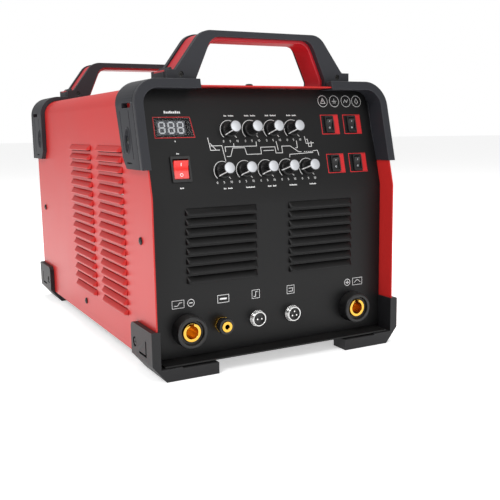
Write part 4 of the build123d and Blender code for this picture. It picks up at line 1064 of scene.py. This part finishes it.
for number, node in enumerate(KNOBS, 1):
    spot = knob_frame(node)
    body = made_by(FLUTES, f"knob_grip_{number}", {"Flutes": 18.0, "Depth": 0.45 * MM, "Low": 3.55 * MM,
                                                   "High": 16.5 * MM, "Least radius": 6.3 * MM,
                                                   "Finish": knob_black}, lathe("turned", KNOB_BODY, 144))
    body.transform(spot)
    grip = new_piece(f"knob_grip_{number}", body, node, knob_black, 40.0)
    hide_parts(node)
    new_piece(f"knob_cap_{number}", lathe("cap", KNOB_CAP, 64, spot), node, cap_silver, 40.0)
    facing = radians(135.0 - JOINTS[node]["range_deg"][1])
    points = [(side * POINTER_HALF, radius, height) for side in (-1, 1) for radius, height in POINTER_SIDE]
    strip = solid_between("strip", points, spot @ Matrix.Rotation(facing, 4, "Z"))
    new_piece(f"knob_pointer_{number}", strip, node, print_white)
print("knobs", len(KNOBS), "grip faces", len(body.polygons))

# %% [markdown]
# ## Rocker switches
# A rocker's face is dished between its two ends, so its side view is drawn with a shallow curve and
# pushed through its width. Its place comes from its joint: the pivot lies 1 mm behind the panel face.

# %% Rockers and bezels
REST_TILT = radians(10.0)
PIVOT_DEPTH, ROCKER_ROOT, DISH = 1.0 * MM, 3.5 * MM, 1.3 * MM
MARK_LIFT = 0.08 * MM


def dish_height(y, tip, crest):
    return crest - DISH * (1.0 - (y / tip) ** 2)


def rocker_piece(node, width, tip, crest, material):
    """Dished rocker with rounded edges; returns the matrix of its pivot at rest."""
    pivot = (rocker_frame(node) @ Matrix.Translation((0.0, 0.0, -PIVOT_DEPTH))
             @ Matrix.Rotation(REST_TILT, 4, "X"))
    face = [(tip * k / 6, dish_height(tip * k / 6, tip, crest)) for k in range(-6, 7)]
    outline = face + [(0.85 * tip, -ROCKER_ROOT), (-0.85 * tip, -ROCKER_ROOT)]
    points = [(side * width / 2, y, z) for side in (-1, 1) for y, z in outline]
    piece = new_piece(node + "_button", solid_between("rocker", points, pivot), node, material)
    add_bevel(piece, 0.4 * MM, 3, 50.0)
    settled(piece)
    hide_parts(node)
    return pivot


def mark_spot(pivot, y, tip, crest):
    """A spot on the dished face, tipped with it."""
    slope = 2 * DISH * y / tip ** 2
    place = Matrix.Translation((0.0, y, dish_height(y, tip, crest)))
    return pivot @ place @ Matrix.Rotation(atan(slope), 4, "X")


MAIN_TIP, MAIN_CREST, MODE_TIP, MODE_CREST = 9.3 * MM, 3.9 * MM, 6.4 * MM, 3.5 * MM
pivot = rocker_piece("main_switch_rocker", 16.0 * MM, MAIN_TIP, MAIN_CREST, rocker_red)
bar = band([(0.0, -1.6 * MM), (0.0, 1.6 * MM)], 0.7 * MM, mark_spot(pivot, 5.2 * MM, MAIN_TIP, MAIN_CREST),
           -0.1 * MM, MARK_LIFT)
ring = band(circle(1.5 * MM, 24), 0.6 * MM, mark_spot(pivot, -5.2 * MM, MAIN_TIP, MAIN_CREST),
            -0.1 * MM, MARK_LIFT, True)
new_piece("main_switch_marks", joined("marks", [bar, ring]), "main_switch_rocker", print_white)
for node in MODE_ROCKERS:
    pivot = rocker_piece(node, 7.4 * MM, MODE_TIP, MODE_CREST, part_black)
    bar = band([(0.0, -0.8 * MM), (0.0, 0.8 * MM)], 0.4 * MM, mark_spot(pivot, 3.6 * MM, MODE_TIP, MODE_CREST),
               -0.1 * MM, MARK_LIFT)
    ring = band(circle(0.8 * MM, 20), 0.35 * MM, mark_spot(pivot, -3.6 * MM, MODE_TIP, MODE_CREST),
                -0.1 * MM, MARK_LIFT, True)
    new_piece(node + "_marks", joined("marks", [bar, ring]), node, digit_grey)


def refined(node, width, material, body="case", segments=2, extra=()):
    """A CAD piece with its sharp edges rounded, and what else belongs to the same moulding."""
    piece = new_piece(node + "_rounded", cad_copy(node), body, material)
    add_bevel(piece, width * MM, segments, 40.0)
    settled(piece)
    if extra:
        new_piece(node + "_relief", joined(node + "_relief", extra), body, material, 60.0)
    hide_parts(node)
    return piece


refined("main_switch_housing", 0.5, part_black)
refined("mode_switch_housings", 0.4, part_black)
print("rockers", 1 + len(MODE_ROCKERS))

# %% [markdown]
# ## Sockets and gas outlet
# The welding sockets are thick mouldings with well rounded rims round a turned brass contact. The
# control sockets are plated shells with a fine thread. A thread or a knurl repeats one form along a
# line or round a circle, so two small Geometry Nodes trees make them.

# %% Sockets and gas outlet
def thread_tree():
    """Fine rings along an axis, like a thread seen from outside."""
    tree = new_tree("thread_rings", "GeometryNodeTree",
                    [("Rings", INTEGER, 5), ("Radius", FLOAT, 0.008), ("Pitch", FLOAT, 0.001),
                     ("Wire", FLOAT, 0.0003), ("Finish", MATERIAL, None)], [("Geometry", GEOMETRY)])
    w = Wiring(tree)
    given, given_back = w.node("NodeGroupInput"), w.node("NodeGroupOutput")
    size = given.outputs
    hoop = w.node("GeometryNodeCurvePrimitiveCircle", {"Resolution": 48, "Radius": size["Radius"]})
    wire = w.node("GeometryNodeCurvePrimitiveCircle", {"Resolution": 8, "Radius": size["Wire"]})
    ring = w.node("GeometryNodeCurveToMesh", {"Curve": hoop.outputs[0], "Profile Curve": wire.outputs[0]})
    step = w.node("ShaderNodeCombineXYZ", {"Z": size["Pitch"]})
    line = w.node("GeometryNodeMeshLine", {"Count": size["Rings"], "Offset": step.outputs[0]})
    copies = w.node("GeometryNodeInstanceOnPoints", {"Points": line.outputs[0], "Instance": ring.outputs[0]})
    w.end_geometry(copies.outputs[0], size["Finish"], given_back)
    return tree


def knurl_tree():
    """Narrow rounded bars round a collar."""
    tree = new_tree("collar_bars", "GeometryNodeTree",
                    [("Bars", INTEGER, 36), ("Radius", FLOAT, 0.008), ("Length", FLOAT, 0.006),
                     ("Bar", FLOAT, 0.0003), ("Finish", MATERIAL, None)], [("Geometry", GEOMETRY)])
    w = Wiring(tree)
    given, given_back = w.node("NodeGroupInput"), w.node("NodeGroupOutput")
    size = given.outputs
    circle_points = w.node("GeometryNodeMeshCircle", {"Vertices": size["Bars"], "Radius": size["Radius"]})
    bar = w.node("GeometryNodeMeshCylinder", {"Vertices": 8, "Radius": size["Bar"], "Depth": size["Length"]})
    copies = w.node("GeometryNodeInstanceOnPoints", {"Points": circle_points.outputs[0],
                                                     "Instance": bar.outputs[0]})
    w.end_geometry(copies.outputs[0], size["Finish"], given_back)
    return tree


THREAD, KNURL = thread_tree(), knurl_tree()


def placed(mesh, spot):
    mesh.transform(spot)
    return outward(mesh)


refined("socket_housings", 1.0, part_black, segments=4)
refined("socket_contacts", 0.6, brass, segments=3)
threads = [placed(made_by(THREAD, "thread", {"Rings": 4, "Radius": 8.0 * MM, "Pitch": 1.0 * MM,
                                             "Wire": 0.28 * MM, "Finish": chrome}),
                  spot @ Matrix.Translation((0, 0, 4.0 * MM)))
           for spot in CONTROL_SOCKETS]
refined("control_socket_shells", 0.3, chrome, extra=threads)
refined("control_socket_inserts", 0.2, part_black)
knurl = placed(made_by(KNURL, "knurl", {"Bars": 40, "Radius": 8.2 * MM, "Length": 5.6 * MM, "Bar": 0.32 * MM,
                                        "Finish": part_black}),
               GAS_OUTLET @ Matrix.Translation((0, 0, 11.1 * MM)))
refined("gas_outlet_collar", 0.5, part_black, "gas_outlet_collar", 3, [knurl])
refined("gas_outlet", 0.3, brass)
print("sockets done")

# %% [markdown]
# ## Display and prints
# Prints are ink: closed strips a few hundredths of a millimetre thick, drawn in millimetres across
# the panel and up the machine. Words are left as plain bars; only the dials carry numbers.

# %% Display and prints
INK_LOW, INK_HIGH = -0.02 * MM, 0.06 * MM
UPPER_FACE = face_frame((0.0, -PANEL_REACH, BEND_HEIGHT), (0.0, -cos(TILT), sin(TILT)))
LOWER_FACE = face_frame((0.0, -PANEL_REACH, BEND_HEIGHT), (0.0, -1.0, 0.0))
BEND_MM = BEND_HEIGHT / MM


def inked(path, width, closed=False):
    """A printed line through points given as (x, height) in millimetres."""
    leans = min(z for x, z in path) >= BEND_MM
    stretch = MM / cos(TILT) if leans else MM
    return band([(x * MM, (z - BEND_MM) * stretch) for x, z in path], width * MM,
                UPPER_FACE if leans else LOWER_FACE, INK_LOW, INK_HIGH, closed)


def boxed(left, right, low, high, width):
    return inked([(left, low), (right, low), (right, high), (left, high)], width, True)


def block(left, right, low, high):
    """A filled printed rectangle."""
    middle = (low + high) / 2
    return inked([(left, middle), (right, middle)], high - low)


def hoop(x, z, radius, width):
    return inked([(x + radius * cos(2 * pi * k / 36), z + radius * sin(2 * pi * k / 36)) for k in range(36)],
                 width, True)


def caption(x, z, words, tall=1.5, stroke=0.75, space=0.3):
    """A centred line of words as rows of plain blocks: every third block is a little taller."""
    start, prints = x - (sum(words) + 1.0 * (len(words) - 1)) / 2, []
    for word in words:
        for k in range(int(word / (stroke + space))):
            left, top = start + k * (stroke + space), tall / 2 if k % 3 == 0 else 0.25 * tall
            prints.append(block(left, left + stroke, z - tall / 2, z + top))
        start += word + 1.0
    return prints


NUMERALS = {"0": [(-0.5, -0.6), (-0.5, 0.6), (-0.2, 1.0), (0.2, 1.0), (0.5, 0.6), (0.5, -0.6),
                  (0.2, -1.0), (-0.2, -1.0)],
            "1": [(-0.3, 0.6), (0.1, 1.0), (0.1, -1.0)],
            "5": [(0.5, 1.0), (-0.45, 1.0), (-0.5, 0.15), (0.2, 0.2), (0.5, -0.3), (0.3, -0.9), (-0.5, -1.0)]}


def numeral(text, x, z, size=1.0):
    start, prints = x - 0.75 * size * (len(text) - 1), []
    for figure in text:
        prints.append(inked([(start + px * size, z + pz * size) for px, pz in NUMERALS[figure]], 0.32,
                            figure == "0"))
        start += 1.5 * size
    return prints


# %% [markdown]
# A dial is an arc, an end tick and three numbers. Captions stand above the upper knobs and below the
# lower ones.

# %% Dials and captions
white, red = [], []
for node in KNOBS:
    x, z = (value / MM for value in JOINTS[node]["pos_m"][::2])
    turn = [radians(225.0 - 270.0 * k / 40) for k in range(41)]
    white.append(inked([(x + 10.0 * cos(a), z + 10.0 * sin(a)) for a in turn[:26]], 0.55))
    a = radians(-45.0)
    white.append(inked([(x + 8.6 * cos(a), z + 8.6 * sin(a)), (x + 11.2 * cos(a), z + 11.2 * sin(a))], 0.5))
    for text, place in (("0", -7.8), ("5", 0.0), ("10", 8.2)):
        white += numeral(text, x + place, z - 11.4)
for x, words in ((-40.0, (4, 7)), (-15.0, (6, 7)), (10.0, (5, 8)), (36.0, (6, 6))):
    white += caption(x, 260.3, words)
for x, words in ((-51.0, (4, 6)), (-25.0, (11,)), (1.0, (5, 5)), (27.0, (10,)), (52.0, (9,))):
    white += caption(x, 186.4, words)
white += caption(-102.0, 223.0, (4,)) + caption(-102.0, 189.0, (5,)) + caption(-103.0, 235.2, (2,))
white += caption(-103.0, 264.2, (18,), 2.6, 1.5, 0.5)

print("dial prints", len(white))

# %% [markdown]
# The welding cycle is a broken line between the rows of knobs. Each socket has a small sign over it,
# and each mode rocker has a red ground beside it.

# %% Cycle diagram and signs
WAVES = [[(-64.9, 237.5), (-63.2, 224.8), (-52.8, 224.8)], [(-63.2, 232), (-56.8, 224.8)],
         [(-63.2, 229.2), (-49.9, 229.2), (-47.6, 213.2)],
         [(-45.8, 218), (-41.2, 218), (-37.7, 226.5), (-23.8, 226.5), (-22.1, 219.5), (-4.7, 219.5),
          (-4.7, 226.5), (12.7, 226.5), (13.2, 219.9), (21.3, 219.9), (21.3, 227),
          (31.8, 227), (41.6, 220.4), (45.1, 220.4)],
         [(-46.4, 222.6), (-46.4, 227.9), (-9.3, 227.9), (-9.3, 232.5)], [(-36, 231.4), (-36, 227.5)],
         [(15, 232.5), (16.5, 222.6)], [(40.5, 232.5), (40.7, 224.8), (38, 224.6)],
         [(60, 221), (65.9, 221.5), (67, 216)], [(29.5, 214.9), (30, 218), (60.1, 219.3)],
         [(51.4, 236.9), (52.6, 229.2), (62.5, 229.7)],
         [(53.2, 233.6), (54.9, 233.6), (55.5, 225.9), (59, 225.9), (59, 231.4)], [(-1.8, 222.8), (10.9, 223)]]
white += [inked([(x - 2.6, z + 0.6) for x, z in path], 0.6) for path in WAVES]
white += [block(45.9 + 2.4 * k, 47.3 + 2.4 * k, 220.7, 221.3) for k in range(5)]

ICONS = {79.0: [[(-3, -2.4), (3, -2.4), (0, 3.2), (-3, -2.4)], [(0, 1.4), (0, -0.6)]],
         94.4: [[(-3, 0), (3, 0)], [(-2, -1.8), (2, -1.8)], [(0, 0), (0, 3)]],
         110.2: [[(-3, -1.6), (-1, 1.8), (1, -1.2), (3, 2)]],
         124.7: [[(0, 3.2), (-2.2, -0.6), (0, -3), (2.2, -0.6), (0, 3.2)]]}
for x, glyph in ICONS.items():
    white.append(hoop(x, 275.6, 6.2, 0.4))
    white += [inked([(x + px, 275.6 + pz) for px, pz in path], 0.45) for path in glyph]
white += [boxed(-118, -105, 67.5, 75.5, 0.4), inked([(-116, 70), (-112, 70), (-110, 73), (-107, 73)], 0.5),
          hoop(-97.3, 71.5, 3.7, 0.5), block(-99.3, -95.3, 71.1, 71.9), boxed(-67, -54, 67.5, 75.5, 0.5),
          block(-64.5, -56.5, 70.6, 72.4), boxed(-26.4, -17.4, 67.5, 76.5, 0.4),
          inked([(-24.5, 69.5), (-22, 69.5), (-22, 74.5), (-19.4, 74.5)], 0.5),
          boxed(17.0, 26.0, 67.5, 76.5, 0.4),
          inked([(19, 70), (24, 70), (24, 73.5), (19, 73.5)], 0.5), hoop(97, 71.5, 3.7, 0.5),
          block(95, 99, 71.1, 71.9), block(96.6, 97.4, 69.5, 73.5), boxed(104.4, 117.4, 67.5, 75.5, 0.4),
          inked([(106.5, 70), (110, 73), (112, 73), (115.4, 70)], 0.5)]
for left, right, low, high in ((73.3, 96.0, 239.5, 260.3), (103.2, 126.2, 239.5, 260.3),
                               (74.4, 96.4, 197.0, 217.2), (103.9, 126.7, 197.0, 217.2)):
    red += [boxed(left, right, low, high, 0.8), block(right - 6.2, right - 0.3, low + 0.3, high - 0.3)]

print("all prints", len(white), "white", len(red), "red")

# %% [markdown]
# The display has three digits of seven bars on a grey ground, set back behind the clear window.

# %% Display
corners = [DISPLAY.inverted() @ vertex.co for vertex in nodes["display_lens"].data.vertices]
corners = [(point.x, point.y) for point in corners if point.z > 0.9 * MM]
window_middle = Vector((sum(x for x, y in corners) / len(corners), sum(y for x, y in corners) / len(corners)))
extremes = [max(corners, key=lambda point: sx * point[0] + 3 * sy * point[1])
            for sx, sy in ((-1, -1), (1, -1), (1, 1), (-1, 1))]
outline = [tuple(Vector(point) + (Vector(point) - window_middle).normalized() * 0.5 * MM) for point in extremes]
red.append(band(outline, 0.7 * MM, DISPLAY, INK_LOW, INK_HIGH, True))

SEGMENTS = [((-0.8, 2), (0.8, 2)), ((1, 1.8), (1, 0.2)), ((1, -0.2), (1, -1.8)), ((-0.8, -2), (0.8, -2)),
            ((-1, -0.2), (-1, -1.8)), ((-1, 1.8), (-1, 0.2)), ((-0.8, 0), (0.8, 0))]
DIGIT_WIDE, DIGIT_TALL, DISPLAY_DEPTH = 2.9 * MM, 2.75 * MM, 1.2 * MM
digits = [band([(x * MM + a * DIGIT_WIDE, b * DIGIT_TALL) for a, b in pair], 1.5 * MM, DISPLAY,
               0.1 * MM - DISPLAY_DEPTH, 0.2 * MM - DISPLAY_DEPTH)
          for x in (-10.0, 0.0, 10.0) for pair in SEGMENTS]
ground = band([(-15.4 * MM, 0.0), (15.4 * MM, 0.0)], 14.7 * MM, DISPLAY,
              -DISPLAY_DEPTH, 0.1 * MM - DISPLAY_DEPTH)
module = new_piece("display_block", prism(rectangle(32.4 * MM, 16.4 * MM), DISPLAY, -9.0 * MM, -DISPLAY_DEPTH),
                   "case", part_black)
add_bevel(module, 0.4 * MM, 2)
settled(module)
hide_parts("display_module")
new_piece("display_digits", joined("digits", digits), "case", digit_grey)
new_piece("display_ground", ground, "case", display_grey)
new_piece("panel_prints_white", joined("white", white), "case", print_white)
new_piece("panel_prints_red", joined("red", red), "case", print_red)
print("prints", len(white), "white", len(red), "red")

# %% [markdown]
# ## Cross-head screws
# All pan head screws are one head with a cross recess. A tree sets a copy on each point and turns it
# to the way that the point faces; the points come from the CAD screws.

# %% Cross-head screws
def islands(node):
    """The box of each separate solid in a CAD node, always in the same order."""
    work = bmesh.new()
    work.from_mesh(nodes[node].data)
    bmesh.ops.remove_doubles(work, verts=work.verts, dist=0.00001)
    left, boxes = set(work.verts), []
    while left:
        found, reached = [], [left.pop()]
        while reached:
            vertex = reached.pop()
            found.append(vertex.co.copy())
            for edge in vertex.link_edges:
                other = edge.other_vert(vertex)
                if other in left:
                    left.remove(other)
                    reached.append(other)
        boxes.append((Vector(map(min, zip(*found))), Vector(map(max, zip(*found)))))
    work.free()
    return sorted(boxes, key=lambda box: tuple(box[0]))


def screw_tree():
    tree = new_tree("screws_on_points", "GeometryNodeTree",
                    [("Geometry", GEOMETRY, None), ("Head", "NodeSocketObject", None),
                     ("Finish", MATERIAL, None)],
                    [("Geometry", GEOMETRY)])
    w = Wiring(tree)
    given, given_back = w.node("NodeGroupInput"), w.node("NodeGroupOutput")
    size = given.outputs
    facing = w.node("GeometryNodeInputNamedAttribute", {"Name": "facing"}, data_type="FLOAT_VECTOR")
    turned = w.node("FunctionNodeAlignRotationToVector", {"Vector": facing.outputs["Attribute"]}, axis="Z")
    head = w.node("GeometryNodeObjectInfo", {"Object": size["Head"]})
    copies = w.node("GeometryNodeInstanceOnPoints", {"Points": size["Geometry"],
                                                     "Instance": head.outputs["Geometry"],
                                                     "Rotation": turned.outputs[0]})
    w.end_geometry(copies.outputs[0], size["Finish"], given_back)
    return tree


HEAD_HEIGHT = 2.0 * MM
HEAD_SIDE = scaled([(0, 0), (3.8, 0), (3.9, 0.15), (3.85, 0.8), (3.4, 1.45), (2.3, 1.85), (1.1, 1.97),
                    (0, 2.0)])
head_blank = lathe("head", HEAD_SIDE)
recess = [prism(rectangle(*size), Matrix.Identity(4), 0.8 * MM, 3.0 * MM)
          for size in ((3.8 * MM, 0.9 * MM), (0.9 * MM, 3.8 * MM))]
head_mesh = cut(cut(head_blank, recess[:1]), recess[1:])
head_pattern = bpy.data.objects.new("head_pattern", head_mesh)
SCREWS = screw_tree()
for node in ("cover_screws", "bumper_screws"):
    places, facings = [], []
    for low, high in islands(node):
        middle = (low + high) / 2
        if high.z > COVER_TOP + 1.0 * MM and high.z > 280.0 * MM and abs(middle.x) < COVER_HALF - 10.0 * MM:
            places.append(Vector((middle.x, middle.y, high.z - HEAD_HEIGHT)))
            facings.append(Vector((0.0, 0.0, 1.0)))
        else:
            side = 1.0 if middle.x > 0 else -1.0
            reach = max(abs(low.x), abs(high.x)) - HEAD_HEIGHT
            places.append(Vector((side * reach, middle.y, middle.z)))
            facings.append(Vector((side, 0.0, 0.0)))
    points = mesh_of(node + "_points", places, [])
    attribute = points.attributes.new("facing", "FLOAT_VECTOR", "POINT")
    for index, facing in enumerate(facings):
        attribute.data[index].vector = facing
    heads = made_by(SCREWS, node + "_heads", {"Head": head_pattern, "Finish": screw_black}, points)
    piece = new_piece(node + "_heads", heads, "case", screw_black)
    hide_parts(node)
    print(piece.name, len(places), "screws", len(heads.polygons), "faces")
bpy.data.objects.remove(head_pattern)

# %% [markdown]
# ## The rear
# The fan guard is bent wire, so its rings are round in section; the rest of the back keeps its CAD
# shapes with softened edges.

# %% Fan guard and rear fittings
RING_RADII = (54.0, 45.0, 36.0, 27.0, 18.0)
GUARD_WIRE = 0.9 * MM
guard_low, guard_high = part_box("fan_grille")
guard_middle = ((guard_low.x + guard_high.x) / 2, guard_low.y, (guard_low.z + guard_high.z) / 2)
guard_spot = face_frame(guard_middle, (0.0, 1.0, 0.0))
rings = [placed(made_by(THREAD, "guard_ring", {"Rings": 1, "Radius": radius * MM, "Pitch": 0.0,
                                              "Wire": GUARD_WIRE, "Finish": chrome}),
                guard_spot @ Matrix.Translation((0, 0, GUARD_WIRE)))
         for radius in RING_RADII]
refined("fan_grille", 0.3, chrome, extra=rings)
refined("mains_gland", 0.6, part_black)
refined("gas_inlet", 0.3, brass)
refined("earth_stud", 0.2, brass)
refined("fan_frame", 0.6, part_black)
print("rear done")
